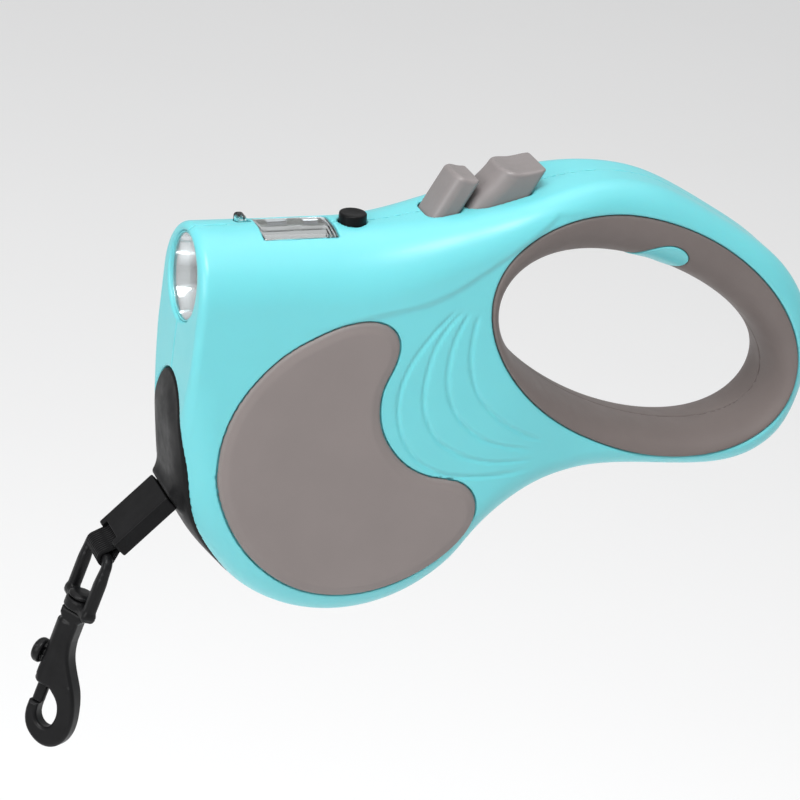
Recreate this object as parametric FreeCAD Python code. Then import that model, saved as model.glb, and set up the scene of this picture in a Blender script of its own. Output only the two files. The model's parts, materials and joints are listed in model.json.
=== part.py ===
"""Retractable dog leash: moulded casing with hand loop, spring-loaded tape reel, brake, lamps and snap hook.

Every piece is drawn about the reel's centre (X to the rear, Y to the right side, Z up, millimetres)
and moved at export, so that the centre of the hand opening on the mid-plane becomes the origin.
"""
import FreeCAD, Part
import math
import os

from FreeCAD import Vector

# ---------------------------------------------------------------- driving dimensions
REEL_TO_OPENING = (86.5, 40.8)      # from the reel's centre to the hand opening's centre, X and Z
BODY_SIDE = 19.2                    # half thickness of the casing's flat side
PANEL_FACE = 20.0                   # half thickness over the side panels
HANDLE_SIDE = 14.5                  # half thickness of the hand loop
WALL = 2.4                          # casing wall
RIM_TILT = -24.4                    # the rim's long axis falls towards the rear, degrees
HOLE_TILT = -20.5                   # and so does the clear opening's
RIM_AXES = (55.2, 34.6)             # half axes of the casing's edge round the hand opening
HOLE_AXES = (49.2, 23.9)            # half axes of the clear opening inside the grip
HOLE_SHIFT = (-0.1, -3.7)           # the clear opening's centre against the rim's centre
GRIP_SKIN = 1.8                     # soft grip over the casing's core
TORCH_Z = 55.0                      # height of the torch's axis
TOP_FRONT = 70.4                    # height of the barrel's top at its front
TORCH_R = 12.9                      # hole for the torch in the casing's front
AXLE_R = 3.0
RUNNING_GAP = 0.05                  # radial clearance of a running fit
REEL_R = 38.0                       # flange radius
CORE_R = 10.0                       # the tape winds on this core
PACK_R = 27.8                       # wound tape, just inside the straight tape: 5 m of 0.42 mm tape
TAPE_WIDTH = 13.0
LEAD_OFFSET = 28.5                  # distance from the reel's centre to the straight tape's middle
FLANGE_IN = 7.1                     # inner faces of the flanges
FLANGE_OUT = 8.7
RATCHET_TEETH = 24
TAPE_ANGLE = 46.5                   # the tape leaves this far below the horizontal, degrees
MOUTH = 43.0                        # from the tangent point to the outlet's lip, along the tape
SLEEVE_LENGTH = 20.6
SLEEVE_HALF = (8.0, 2.6)            # half width and half thickness
RING_BAR_R = 1.4
RING_DROP = 18.0                    # from the ring's upper bar to its cross bar
HANG = Vector(-0.248, 0, -0.969)    # the hook hangs along this line
SNAP_TURN = 46.0                    # the hook is turned on its swivel, degrees
BOLT_X = 1.2                        # the bolt's axis beside the swivel's axis
PRESS = 63.8                        # both triggers slide towards the reel at this slope, degrees
BRAKE_N = (-9.4, 4.7)               # brake trigger across the slide direction
LOCK_N = (-18.2, -11.0)             # lock trigger across the slide direction
BRAKE_HALF = 7.5                    # half widths of the triggers
LOCK_HALF = 6.5
GAP = 0.3                           # clearance round a piece that moves
BRAKE_SPRING_N = -4.6               # the springs' axes across the slide direction
LOCK_SPRING_N = -14.6
TIP_REST = 39.8                     # the brake's tip at rest, from the reel's centre

MIDDLE = Vector(0, 0, 0)
Y_AXIS = Vector(0, 1, 0)
HANG.normalize()


# ---------------------------------------------------------------- helpers
def xz(x, z, y=0.0):
    return Vector(x, y, z)


def curve(points, start=None, end=None, closed=False):
    spline = Part.BSplineCurve()
    if closed:
        spline.interpolate(Points=points, PeriodicFlag=True)
    elif start is not None:
        spline.interpolate(Points=points, InitialTangent=start, FinalTangent=end)
    else:
        spline.interpolate(Points=points)
    return spline.toShape()


def line(a, b):
    return Part.LineSegment(a, b).toShape()


def arc(a, b, c):
    return Part.Arc(a, b, c).toShape()


def prism(wire, y_low, y_high):
    """A closed wire in the mid-plane, extruded across the casing."""
    face = Part.Face(wire)
    face.translate(Vector(0, y_low, 0))
    return face.extrude(Vector(0, y_high - y_low, 0))


def grown(wire, distance, count=72):
    """A smooth closed wire that runs this far outside (or inside, when negative) a closed wire."""
    points = wire.discretize(count + 1)[:-1]
    area = sum(a.x * b.z - b.x * a.z for a, b in zip(points, points[1:] + points[:1]))
    outward = distance if area > 0 else -distance
    moved = []
    for before, here, after in zip(points[-1:] + points[:-1], points, points[1:] + points[:1]):
        along = (after - before).normalize()
        moved.append(here + Vector(along.z, 0, -along.x) * outward)
    return Part.Wire(curve(moved, closed=True))


def rod(radius, start, end):
    axis = end - start
    return Part.makeCylinder(radius, axis.Length, start, axis)


def tube(outer, inner, start, end):
    return rod(outer, start, end).cut(rod(inner, start, end))


def block(x, y, z):
    """A box from its lowest and highest value on each axis."""
    return Part.makeBox(x[1] - x[0], y[1] - y[0], z[1] - z[0], Vector(x[0], y[0], z[0]))


def ellipse(axes, centre, slope):
    tilt = math.radians(slope)
    major = Vector(math.cos(tilt), 0, math.sin(tilt))
    minor = Vector(-math.sin(tilt), 0, math.cos(tilt))
    shape = Part.Ellipse(centre + major * axes[0], centre + minor * axes[1], centre)
    return Part.Wire(shape.toShape())


def placed(shape, origin, x_axis, z_axis):
    """Moves a shape from its own frame to one given by an origin and two directions."""
    y_axis = z_axis.cross(x_axis)
    matrix = FreeCAD.Matrix(
        x_axis.x, y_axis.x, z_axis.x, origin.x,
        x_axis.y, y_axis.y, z_axis.y, origin.y,
        x_axis.z, y_axis.z, z_axis.z, origin.z,
    )
    moved = shape.copy()
    moved.Placement = FreeCAD.Placement(matrix)
    return moved


def both_sides(shape):
    return shape.mirror(MIDDLE, Y_AXIS)


# ---------------------------------------------------------------- side outlines
def casing_outline():
    """The casing's outline from the side: flat front and top, humped handle, round belly."""
    top_front = xz(-46.6, TOP_FRONT)
    top_rear = xz(0, TOP_FRONT + 1.8)
    slope = (top_rear - top_front).normalize()
    belly_rear = xz(42.2, -22.4)
    belly_front = xz(-38.6, -26.2)
    front_low = xz(-52.8, 27)
    front_high = xz(-53.0, TOP_FRONT - 5)
    back = [
        top_rear, xz(20, 76), xz(33, 79.2), xz(47, 83.6), xz(60, 87), xz(72, 88), xz(85, 86),
        xz(98, 80.8), xz(112, 73.6), xz(128, 63.6), xz(139.4, 49.6), xz(143.6, 33), xz(142.4, 18),
        xz(137.8, 7.4), xz(128, 0), xz(111, -2.7), xz(87.3, -2), xz(74.4, -2.8),
        xz(62, -6), xz(50.6, -13.4), belly_rear,
    ]
    nose = [belly_front, xz(-47.9, -13.4), xz(-51.6, 4), front_low]
    return Part.Wire([
        line(top_front, top_rear),
        curve(back, slope, Vector(-0.5, 0, -0.86)),
        arc(belly_rear, xz(1.2, -46.4), belly_front),
        curve(nose, Vector(-0.55, 0, 0.83), Vector(-0.01, 0, 1)),
        line(front_low, front_high),
        arc(front_high, xz(-51.4, TOP_FRONT - 1.45), top_front),
    ])


def rim():
    return ellipse(RIM_AXES, xz(*REEL_TO_OPENING), RIM_TILT)


def hole(extra=0.0):
    centre = xz(REEL_TO_OPENING[0] + HOLE_SHIFT[0], REEL_TO_OPENING[1] + HOLE_SHIFT[1])
    return ellipse((HOLE_AXES[0] + extra, HOLE_AXES[1] + extra), centre, HOLE_TILT)


def panel_outline():
    """The side panel: a disc round the reel with a lobe at each end of a round bite."""
    points = [
        (-4, 48.8), (2.4, 47.8), (6.9, 43), (7.3, 36), (4.6, 27), (4.9, 18), (10.4, 8),
        (20, 0.6), (31.4, -2), (38.2, -8.4), (36.6, -19.6), (26.6, -30), (10.4, -37),
        (-6.4, -37.4), (-23.5, -29), (-35.4, -16.4), (-41.8, -2.8), (-41.8, 14),
        (-34.6, 31), (-20.4, 44),
    ]
    return Part.Wire(curve([xz(x, z) for x, z in points], closed=True))


def plan_envelope():
    """Seen from above: thick over the reel and barrel, drawn in to the hand loop."""
    flare = [Vector(40, BODY_SIDE, 0), Vector(52, 18.2, 0), Vector(66, 15.6, 0), Vector(80, HANDLE_SIDE, 0)]
    rear = Vector(144.8, HANDLE_SIDE, 0)
    front = Vector(-60, BODY_SIDE, 0)
    along = Vector(1, 0, 0)
    upper = [line(front, flare[0]), curve(flare, along, along), line(flare[-1], rear)]
    lower = [edge.mirror(MIDDLE, Y_AXIS) for edge in upper]
    ends = [line(rear, Vector(rear.x, -rear.y, 0)), line(front, Vector(front.x, -front.y, 0))]
    wire = Part.Wire(Part.__sortEdges__(upper + lower + ends))
    low, high = -60, 110
    face = Part.Face(wire)
    face.translate(Vector(0, 0, low))
    return face.extrude(Vector(0, 0, high - low))


# ---------------------------------------------------------------- directions
PAY_OUT = Vector(-math.cos(math.radians(TAPE_ANGLE)), 0, -math.sin(math.radians(TAPE_ANGLE)))
OFF_REEL = Vector(PAY_OUT.z, 0, -PAY_OUT.x)                    # from the reel's centre to the straight tape
TANGENT = OFF_REEL * LEAD_OFFSET
RING_CENTRE = TANGENT + PAY_OUT * (MOUTH + 0.4 + SLEEVE_LENGTH + 4.3)
SNAP_TOP = RING_CENTRE + HANG * (RING_DROP + 1.6 + GAP)
PRESS_UP = Vector(math.cos(math.radians(PRESS)), 0, math.sin(math.radians(PRESS)))
PRESS_ACROSS = Vector(PRESS_UP.z, 0, -PRESS_UP.x)


def tape_frame(shape):
    """From X across the tape, Y through it and Z back up the tape, to its place at the tangent point."""
    return placed(shape, TANGENT, Y_AXIS, PAY_OUT * -1)


def trigger_frame(across, up):
    """A point in the mid-plane from its distances across and along the triggers' slide direction."""
    return PRESS_ACROSS * across + PRESS_UP * up


def trigger_profile(corners):
    return Part.makePolygon([trigger_frame(n, w) for n, w in corners + corners[:1]])


SCREWS = [(-44, 33), (0, 50), (42, 20), (46, -4), (66, 3.5), (84, 81.6), (124.5, 60.4)]
SCREW_SIDE = {84: HANDLE_SIDE, 124.5: HANDLE_SIDE, 66: 15.6, 46: 18.7, 42: 19.0}


def screw_seat(x):
    """Where a screw's head sits, from the casing's local half thickness."""
    return SCREW_SIDE.get(x, BODY_SIDE) - 3.4


# ---------------------------------------------------------------- casing
def outlet_shield(extra):
    """The outlet guide's outline from the front, a shield, run through the casing's nose and belly."""
    points = [
        (0, 26.5 + extra), (9, 21.5 + extra), (13.7 + extra, 11), (14.2 + extra, -3), (12.9 + extra, -18),
        (10 + extra, -31), (5.6 + extra, -41), (0, -44 - extra),
    ]
    right = [Vector(-75, y, z) for y, z in points]
    left = [Vector(-75, -y, z) for y, z in reversed(points)]
    wire = Part.Wire([curve(right), curve(left)])
    return Part.Face(wire).extrude(Vector(50.5, 0, 0))


def casing_skin():
    body = prism(casing_outline(), -BODY_SIDE, BODY_SIDE).common(plan_envelope())
    body = body.cut(prism(hole(GRIP_SKIN), -30, 30))
    for side in (-1, 1):
        ends = sorted((side * HANDLE_SIDE, side * 30))
        body = body.cut(prism(rim(), ends[0], ends[1]))
    return body


def casing_hollow():
    outline = casing_outline()
    inside = prism(grown(outline, -WALL), -(BODY_SIDE - WALL), BODY_SIDE - WALL)
    cabin = inside.common(block((-60, 56), (-30, 30), (-60, 90)))
    loop = prism(grown(outline, -3.2), -8.5, 8.5).common(block((50, 150), (-30, 30), (-60, 110)))
    hollow = cabin.fuse(loop)
    keep_round_hole = prism(hole(GRIP_SKIN + 3.0), -30, 30)
    return hollow.cut(keep_round_hole)


def torch_hole():
    return rod(TORCH_R, Vector(-60, 0, TORCH_Z), Vector(-46.2, 0, TORCH_Z))


LAMP_X = (-33.2, -10.8)
LAMP_SIDE = 8.2
LAMP_SLOPE = math.degrees(math.atan2(1.8, 46.6))


def tilted(shape):
    """Follows the slight rise of the barrel's top."""
    moved = shape.copy()
    moved.rotate(Vector(-46.6, 0, TOP_FRONT), Vector(0, -1, 0), LAMP_SLOPE)
    return moved


SWITCH_X = -4.6
CATCH_Y = 4.0                       # the catch's nub stands beside the mid-plane


def trigger_slot(low, high, half_width):
    return prism(trigger_profile([(low, 60), (high, 60), (high, 115), (low, 115)]), -half_width, half_width)


def casing_openings():
    """Everything cut through the casing's walls for the pieces that show."""
    lamp = tilted(block(LAMP_X, (-LAMP_SIDE, LAMP_SIDE), (60, 80)))
    catch = tilted(block((-38.7, -33.9), (CATCH_Y - 2.6, CATCH_Y + 2.6), (62, 80)))
    switch = rod(4.0 + 0.25, xz(SWITCH_X, 60), xz(SWITCH_X, 80))
    brake = trigger_slot(BRAKE_N[0] - 0.2, BRAKE_N[1] + GAP, BRAKE_HALF + GAP)
    lock = trigger_slot(LOCK_N[0] - GAP, LOCK_N[1] + 0.2, LOCK_HALF + GAP)
    return [torch_hole(), lamp, catch, switch, brake, lock, outlet_shield(0.25)]


def screw_post(x, z, side):
    end = side * (BODY_SIDE - WALL + 0.5) if x < 60 else side * 9.0
    return rod(3.0, xz(x, z), xz(x, z, end))


def axle_boss(side):
    inner = {-1: -11.4, 1: 16.2}[side]
    return rod(6.0, xz(0, 0, inner), xz(0, 0, side * (BODY_SIDE - WALL + 0.5)))


def casing_half(walls, side):
    """One half of the casing: -1 is the left half, 1 the right half with the screw heads."""
    half_space = block((-70, 160), (0, 40), (-60, 110))
    if side < 0:
        half_space = both_sides(half_space)
    shell = walls.common(half_space)
    shell = shell.fuse([screw_post(x, z, side) for x, z in SCREWS] + [axle_boss(side)])
    cuts = casing_openings()
    pocket = prism(grown(panel_outline(), 0.25), PANEL_FACE - 2.15, 30)
    cuts.append(pocket if side > 0 else both_sides(pocket))
    cuts.append(rod(AXLE_R, xz(0, 0, -(BODY_SIDE - WALL)), xz(0, 0, BODY_SIDE - WALL)))
    for x, z in SCREWS:
        if side < 0:
            cuts.append(rod(1.25, xz(x, z, -8.4), xz(x, z)))
        else:
            cuts.append(rod(1.7, xz(x, z), xz(x, z, 30)))
            cuts.append(rod(2.6, xz(x, z, screw_seat(x)), xz(x, z, 30)))
    return shell.cut(cuts).removeSplitter()


def grip_half(side):
    """The soft grip over one half of the loop's core, with a drop-shaped window on its upper run."""
    outer = prism(rim(), -HANDLE_SIDE - 0.4, HANDLE_SIDE + 0.4)
    outer = outer.cut(prism(hole(), -30, 30))
    core = prism(rim(), -HANDLE_SIDE, HANDLE_SIDE).cut(prism(hole(GRIP_SKIN), -30, 30))
    skin = outer.cut(core)
    half_space = block((0, 160), (0, 40), (-60, 110))
    if side < 0:
        half_space = both_sides(half_space)
    skin = skin.common(half_space)
    window = prism(drop_outline(), -30, 30)
    return skin.cut(window).removeSplitter()


def drop_outline():
    """A drop lying along the upper grip: pointed at the front, round at the rear."""
    tip = xz(78.4, 65.4)
    top = [tip, xz(84.6, 69.6), xz(90.6, 70.6), xz(95.8, 67.6)]
    low = [xz(95.8, 67.6), xz(94.4, 63.6), xz(88, 63.4), tip]
    return Part.Wire([curve(top), curve(low)])


def drop_half(side):
    piece = prism(drop_outline(), HANDLE_SIDE, HANDLE_SIDE + 0.4)
    return piece if side > 0 else both_sides(piece)


def side_panel(side):
    panel = prism(panel_outline(), PANEL_FACE - 2.15, PANEL_FACE)
    outer_edges = [edge for edge in panel.Edges if edge.BoundBox.YMin > PANEL_FACE - 0.01]
    panel = panel.makeChamfer(0.9, outer_edges)
    return panel if side > 0 else both_sides(panel)


def housing_screws():
    screws = []
    for x, z in SCREWS:
        seat = screw_seat(x)
        screws.append(rod(2.4, xz(x, z, seat), xz(x, z, seat + 1.9)).fuse(rod(1.25, xz(x, z, -8.4), xz(x, z, seat))))
        cross = block((x - 1.5, x + 1.5), (seat + 0.9, seat + 3), (z - 0.35, z + 0.35))
        cross = cross.fuse(block((x - 0.35, x + 0.35), (seat + 0.9, seat + 3), (z - 1.5, z + 1.5)))
        screws[-1] = screws[-1].cut(cross)
    return Part.makeCompound(screws)


# ---------------------------------------------------------------- tape outlet
def tape_outlet_guide():
    """The black insert in the nose, proud of the casing, with a collar round the tape's slot."""
    outline = casing_outline()
    slab = prism(grown(outline, 1.6), -18, 18).cut(prism(grown(outline, -WALL), -18, 18))
    guide = slab.common(outlet_shield(0.0))
    collar = Part.makeBox(19, 7.6, 8.0, Vector(-9.5, -3.8, -MOUTH))
    collar = tape_frame(collar)
    slot = tape_frame(Part.makeBox(14.6, 2.6, 30, Vector(-7.3, -1.3, -60)))
    wide, thick = SLEEVE_HALF[0] + 0.8, SLEEVE_HALF[1] + 0.8
    seat = tape_frame(block((-wide, wide), (-thick, thick), (-60, -MOUTH)))
    return guide.fuse(collar).cut(slot).cut(seat).removeSplitter()


# ---------------------------------------------------------------- reel
def ring_disc(outer, inner, y_low, y_high):
    return tube(outer, inner, xz(0, 0, y_low), xz(0, 0, y_high))


def reel_drum():
    """Core, left flange and ratchet rim in one moulding."""
    bore = AXLE_R + RUNNING_GAP
    drum = ring_disc(CORE_R, bore, -10.2, FLANGE_OUT).fuse(ring_disc(REEL_R, bore, -FLANGE_OUT, -FLANGE_IN))
    drum = drum.fuse(ring_disc(REEL_R, 32.0, -10.2, -FLANGE_IN))
    notch_depth, notch_half = 3.4, 2.8
    notch = block((REEL_R - notch_depth, REEL_R + 2), (-11, -FLANGE_IN + 1), (-notch_half, notch_half))
    cutters = []
    for tooth in range(RATCHET_TEETH):
        cutter = notch.copy()
        cutter.rotate(MIDDLE, Vector(0, -1, 0), PRESS + tooth * 360.0 / RATCHET_TEETH)
        cutters.append(cutter)
    drum = drum.cut(Part.makeCompound(cutters))
    windows = []
    for spoke in range(6):
        window = rod(4.5, xz(21, 0, -11), xz(21, 0, -6))
        window.rotate(MIDDLE, Y_AXIS, 60.0 * spoke)
        windows.append(window)
    return drum.cut(Part.makeCompound(windows))


def reel_flange():
    """Right flange with the mainspring's cup."""
    flange = ring_disc(REEL_R, CORE_R, FLANGE_IN, FLANGE_OUT)
    return flange.fuse(ring_disc(26.6, 25.0, FLANGE_OUT, 14.9))


def mainspring():
    """A flat steel spring wound from the arbor to the cup's wall."""
    inner_r, outer_r, turns, thick = 5.4, 24.2, 11, 0.55
    per_turn = 12
    inside, outside = [], []
    for step in range(turns * per_turn + 1):
        angle = 2 * math.pi * step / per_turn
        radius = inner_r + (outer_r - inner_r) * step / (turns * per_turn)
        inside.append(xz(radius * math.cos(angle), radius * math.sin(angle), 9.3))
        outside.append(xz((radius + thick) * math.cos(angle), (radius + thick) * math.sin(angle), 9.3))
    wire = Part.Wire([
        curve(inside), line(inside[-1], outside[-1]), curve(outside), line(outside[0], inside[0]),
    ])
    return Part.Face(wire).extrude(Vector(0, 5.0, 0))


def tape_lead():
    """The straight tape from the reel to its sleeve."""
    end = MOUTH + 0.4 + 7.0
    return tape_frame(Part.makeBox(TAPE_WIDTH, 0.8, end, Vector(-TAPE_WIDTH / 2, -0.4, -end)))


# ---------------------------------------------------------------- tape end
def tape_end_sleeve():
    half_width, half_thick = SLEEVE_HALF
    top = -(MOUTH + 0.4)
    sleeve = Part.makeBox(2 * half_width, 2 * half_thick, SLEEVE_LENGTH,
                          Vector(-half_width, -half_thick, top - SLEEVE_LENGTH))
    sleeve = sleeve.makeChamfer(0.5, sleeve.Edges)
    sleeve = sleeve.cut(Part.makeBox(TAPE_WIDTH, 0.8, 7.0, Vector(-TAPE_WIDTH / 2, -0.4, top - 7.0)))
    pocket = Part.makeBox(TAPE_WIDTH, 2.0, 6.0, Vector(-TAPE_WIDTH / 2, -1.0, top - SLEEVE_LENGTH))
    return tape_frame(sleeve.cut(pocket))


def tape_loop():
    """Webbing folded round the ring's upper bar, its two ends held in the sleeve."""
    inner, outer, apex = RING_BAR_R + GAP, RING_BAR_R + GAP + 1.0, 4.3
    slant = math.asin(inner / apex)
    side = Vector(math.cos(slant), 0, math.sin(slant))
    inner_side = side * inner
    outer_side = side * outer
    crown = 1.0
    rise = (outer / math.sin(slant)) - crown / math.tan(slant)
    tail_top = apex + 6.0 - 0.2
    right = [
        arc(xz(-inner_side.x, inner_side.z), xz(0, -inner), inner_side),
        line(inner_side, xz(0, apex)),
        line(xz(0, apex), xz(-inner_side.x, inner_side.z)),
    ]
    hollow = Part.Face(Part.Wire(right))
    outside = Part.Wire([
        arc(xz(-outer_side.x, outer_side.z), xz(0, -outer), outer_side),
        line(outer_side, xz(crown, rise)),
        line(xz(crown, rise), xz(crown, tail_top)),
        line(xz(crown, tail_top), xz(-crown, tail_top)),
        line(xz(-crown, tail_top), xz(-crown, rise)),
        line(xz(-crown, rise), xz(-outer_side.x, outer_side.z)),
    ])
    flat = Part.Face(outside).cut(hollow)
    flat.translate(Vector(0, -TAPE_WIDTH / 2, 0))
    band = flat.extrude(Vector(0, TAPE_WIDTH, 0))
    up = PAY_OUT * -1
    return placed(band, RING_CENTRE, Y_AXIS.cross(up), up)


def swivel_ring():
    """A flat-sided ring: round upper bar, two legs and a cross bar drilled for the swivel stud."""
    half = 8.7
    corner = 2.1
    low = -RING_DROP
    path = Part.Wire([
        line(Vector(0, -half, low), Vector(0, -half, -corner)),
        arc(Vector(0, -half, -corner), Vector(0, -half + corner * 0.293, -corner * 0.293),
            Vector(0, -half + corner, 0)),
        line(Vector(0, -half + corner, 0), Vector(0, half - corner, 0)),
        arc(Vector(0, half - corner, 0), Vector(0, half - corner * 0.293, -corner * 0.293),
            Vector(0, half, -corner)),
        line(Vector(0, half, -corner), Vector(0, half, low)),
    ])
    profile = Part.Wire(Part.Circle(Vector(0, -half, low), Vector(0, 0, 1), RING_BAR_R).toShape())
    bow = path.makePipeShell([profile], True, False)
    cross = block((-2.9, 2.9), (-half - RING_BAR_R, half + RING_BAR_R), (low - 1.6, low + 1.6))
    cross = cross.makeChamfer(0.6, cross.Edges)
    ring = bow.fuse(cross).cut(rod(2.2 + RUNNING_GAP, Vector(0, 0, low - 5), Vector(0, 0, low + 5)))
    return placed(ring, RING_CENTRE, HANG_ACROSS, HANG * -1)


HANG_ACROSS = Y_AXIS.cross(HANG * -1)


# ---------------------------------------------------------------- snap hook
def snap_frame(shape):
    """From X towards the thumb knob and Z up the swivel's axis, to the hook's place under its ring."""
    turn = math.radians(SNAP_TURN)
    knob_side = Vector(-math.cos(turn), math.sin(turn), 0)
    up = HANG * -1
    knob_side = (knob_side - up * knob_side.dot(up)).normalize()
    return placed(shape, SNAP_TOP, knob_side, up)


def snap_outline():
    """The hook's side outline: shoulders, waist, open eye and nose."""
    outside = [xz(3.2, -31.3), xz(3.1, -35.2), xz(1.4, -39.2), xz(-1.8, -41.6), xz(-5.8, -42.4),
               xz(-9.4, -41.0), xz(-11.7, -37.8), xz(-12.4, -33.5), xz(-11.7, -28.8), xz(-9.3, -22.9),
               xz(-6.1, -18.1), xz(-3.7, -13.5), xz(-2.9, -9.5)]
    eye = [xz(-1.4, -25.3), xz(-4.9, -28), xz(-6.4, -31.2), xz(-6.3, -34.6), xz(-5.2, -36.5),
           xz(-3, -36.8), xz(-0.7, -35), xz(-0.1, -31.3)]
    corners = [xz(-2.9, -9.5), xz(-2.9, -3.6), xz(-3.9, -2.2), xz(-3.9, 0), xz(3.9, 0), xz(3.9, -2.2),
               xz(2.9, -3.6), xz(2.9, -13), xz(3.9, -20.6), xz(3.9, -22.6), xz(2.6, -25), xz(-1.4, -25.3)]
    edges = [curve(outside)]
    edges += [line(a, b) for a, b in zip(corners, corners[1:])]
    edges += [curve(eye), line(eye[-1], outside[0])]
    return Part.Wire(edges)


def snap_body():
    hook = prism(snap_outline(), -3.0, 3.0)
    hook = hook.fuse(rod(3.3, Vector(BOLT_X, 0, -25), Vector(BOLT_X, 0, -4)))
    hook = hook.cut(rod(1.85 + RUNNING_GAP, Vector(BOLT_X, 0, -28), Vector(BOLT_X, 0, -6)))
    knob_slot = block((BOLT_X, 9), (-1.3, 1.3), (-18.2, -9.2))
    hook = hook.cut(knob_slot)
    hook = hook.cut(rod(2.2, Vector(0, 0, -2), Vector(0, 0, 1)))
    return snap_frame(hook)


def swivel_stud():
    stud = rod(2.2, Vector(0, 0, -2), Vector(0, 0, 3.8 + GAP))
    head = rod(4.2, Vector(0, 0, 3.8 + GAP), Vector(0, 0, 5.8))
    head = head.makeFillet(1.0, [edge for edge in head.Edges if edge.BoundBox.ZMin > 5.7])
    return snap_frame(stud.fuse(head))


def snap_bolt():
    bolt = rod(1.85, Vector(BOLT_X, 0, -31.0), Vector(BOLT_X, 0, -14.2))
    stem = rod(1.1, Vector(BOLT_X, 0, -16.9), Vector(6.6, 0, -16.9))
    knob = rod(3.8, Vector(4.8, 0, -16.9), Vector(8.4, 0, -16.9))
    rim_edges = [edge for edge in knob.Edges if edge.BoundBox.XMin > 8.3]
    knob = knob.makeFillet(0.9, rim_edges)
    return snap_frame(bolt.fuse(stem).fuse(knob))


def snap_spring():
    return snap_frame(tube(1.6, 1.1, Vector(BOLT_X, 0, -13.9), Vector(BOLT_X, 0, -6.3)))


# ---------------------------------------------------------------- triggers
def brake_trigger():
    """Thumb piece, stem and the tip that drops between the ratchet's teeth."""
    low, high = BRAKE_N
    cap = prism(trigger_profile([
        (low, 70), (high, 70), (high, 103.9), (-7.4, 97.2), (low, 94.6),
    ]), -BRAKE_HALF, BRAKE_HALF)
    foot = prism(trigger_profile([
        (low, 70), (high + 1.5, 70), (high + 1.5, 78.4), (low, 78.4),
    ]), -BRAKE_HALF - 1.3, BRAKE_HALF + 1.3)
    web = prism(trigger_profile([(-1.4, 64), (high, 64), (high, 71), (-1.4, 71)]), -10.0, 4)
    stem = prism(trigger_profile([(-1.3, TIP_REST), (1.3, TIP_REST), (1.3, 65), (-1.3, 65)]), -10.0, -7.4)
    spring_well = rod(3.6, trigger_frame(BRAKE_SPRING_N, 60), trigger_frame(BRAKE_SPRING_N, 73.5))
    return cap.fuse([foot, web, stem]).cut(spring_well).removeSplitter()


def lock_trigger():
    low, high = LOCK_N
    cap = prism(trigger_profile([
        (low, 62), (high, 62), (high, 90.8), (-12.6, 91.2), (-16.6, 90.3), (low, 88.2),
    ]), -LOCK_HALF, LOCK_HALF)
    foot = prism(trigger_profile([
        (low - 1.0, 62), (high, 62), (high, 70.4), (low - 1.0, 70.4),
    ]), -LOCK_HALF - 1.2, LOCK_HALF + 1.2)
    spring_well = rod(2.6, trigger_frame(LOCK_SPRING_N, 57), trigger_frame(LOCK_SPRING_N, 66.0))
    return cap.fuse(foot).cut(spring_well).removeSplitter()


def spring_bracket():
    """A shelf across the right half of the casing that both trigger springs stand on."""
    return prism(trigger_profile([(-18.6, 49), (0.4, 49), (0.4, 51), (-18.6, 51)]), -5, BODY_SIDE - WALL)


def brake_spring():
    return tube(3.2, 2.4, trigger_frame(BRAKE_SPRING_N, 51.1), trigger_frame(BRAKE_SPRING_N, 73.3))


def lock_spring():
    return tube(2.3, 1.6, trigger_frame(LOCK_SPRING_N, 51.1), trigger_frame(LOCK_SPRING_N, 65.8))


# ---------------------------------------------------------------- lamps and switch
def turned(profile):
    """Turned about the torch's axis; the profile gives radius and X."""
    points = [Vector(x, 0, TORCH_Z + radius) for radius, x in profile]
    face = Part.Face(Part.makePolygon(points + points[:1]))
    return face.revolve(Vector(0, 0, TORCH_Z), Vector(1, 0, 0), 360)


def torch_bezel():
    return turned([(12.0, -51.9), (12.7, -51.9), (12.7, -46.6), (12.0, -46.6)])


def torch_reflector():
    """A bowl of parabolic section."""
    inside, outside = [], []
    depth, mouth, throat, wall = 14.4, 11.8, 2.9, 0.9
    steps = 8
    for step in range(steps + 1):
        x = depth * step / steps
        radius = math.sqrt(throat ** 2 + (mouth ** 2 - throat ** 2) * (1 - x / depth))
        inside.append((radius, -50.2 + x))
        outside.append((radius + wall, -50.2 + x))
    outside = [(min(radius, mouth + 0.1), x) for radius, x in outside]
    return turned(inside + list(reversed(outside)))


def torch_lens():
    return rod(11.9, Vector(-51.4, 0, TORCH_Z), Vector(-50.3, 0, TORCH_Z))


def torch_led():
    bulb = rod(2.5, Vector(-39, 0, TORCH_Z), Vector(-34.6, 0, TORCH_Z))
    tip = Part.makeSphere(2.5, Vector(-39, 0, TORCH_Z))
    return bulb.fuse(tip).removeSplitter()


def torch_board():
    return rod(10.0, Vector(-34.6, 0, TORCH_Z), Vector(-33.4, 0, TORCH_Z)).cut(
        block((-40, -30), (-20, 20), (59.6, 80)))


def lamp_window():
    window = block((LAMP_X[0] + 0.15, LAMP_X[1] - 0.15), (-LAMP_SIDE + 0.15, LAMP_SIDE - 0.15), (67.0, 69.8))
    top_edges = [edge for edge in window.Edges if edge.BoundBox.ZMin > 69.7]
    return tilted(window.makeChamfer(0.8, top_edges))


def lamp_tray():
    """Silvered tray under the clear window, open at the top, with holes for two lamps."""
    tray = block((LAMP_X[0] + 0.2, LAMP_X[1] - 0.2), (-LAMP_SIDE + 0.2, LAMP_SIDE - 0.2), (60.6, 66.9))
    dish = block((LAMP_X[0] + 1.2, LAMP_X[1] - 1.2), (-LAMP_SIDE + 1.2, LAMP_SIDE - 1.2), (62.0, 70))
    tray = tray.cut(dish)
    for x in LAMP_LEDS:
        tray = tray.cut(rod(2.55, xz(x, 58), xz(x, 68)))
    return tilted(tray)


LAMP_LEDS = (-27.4, -16.6)


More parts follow.
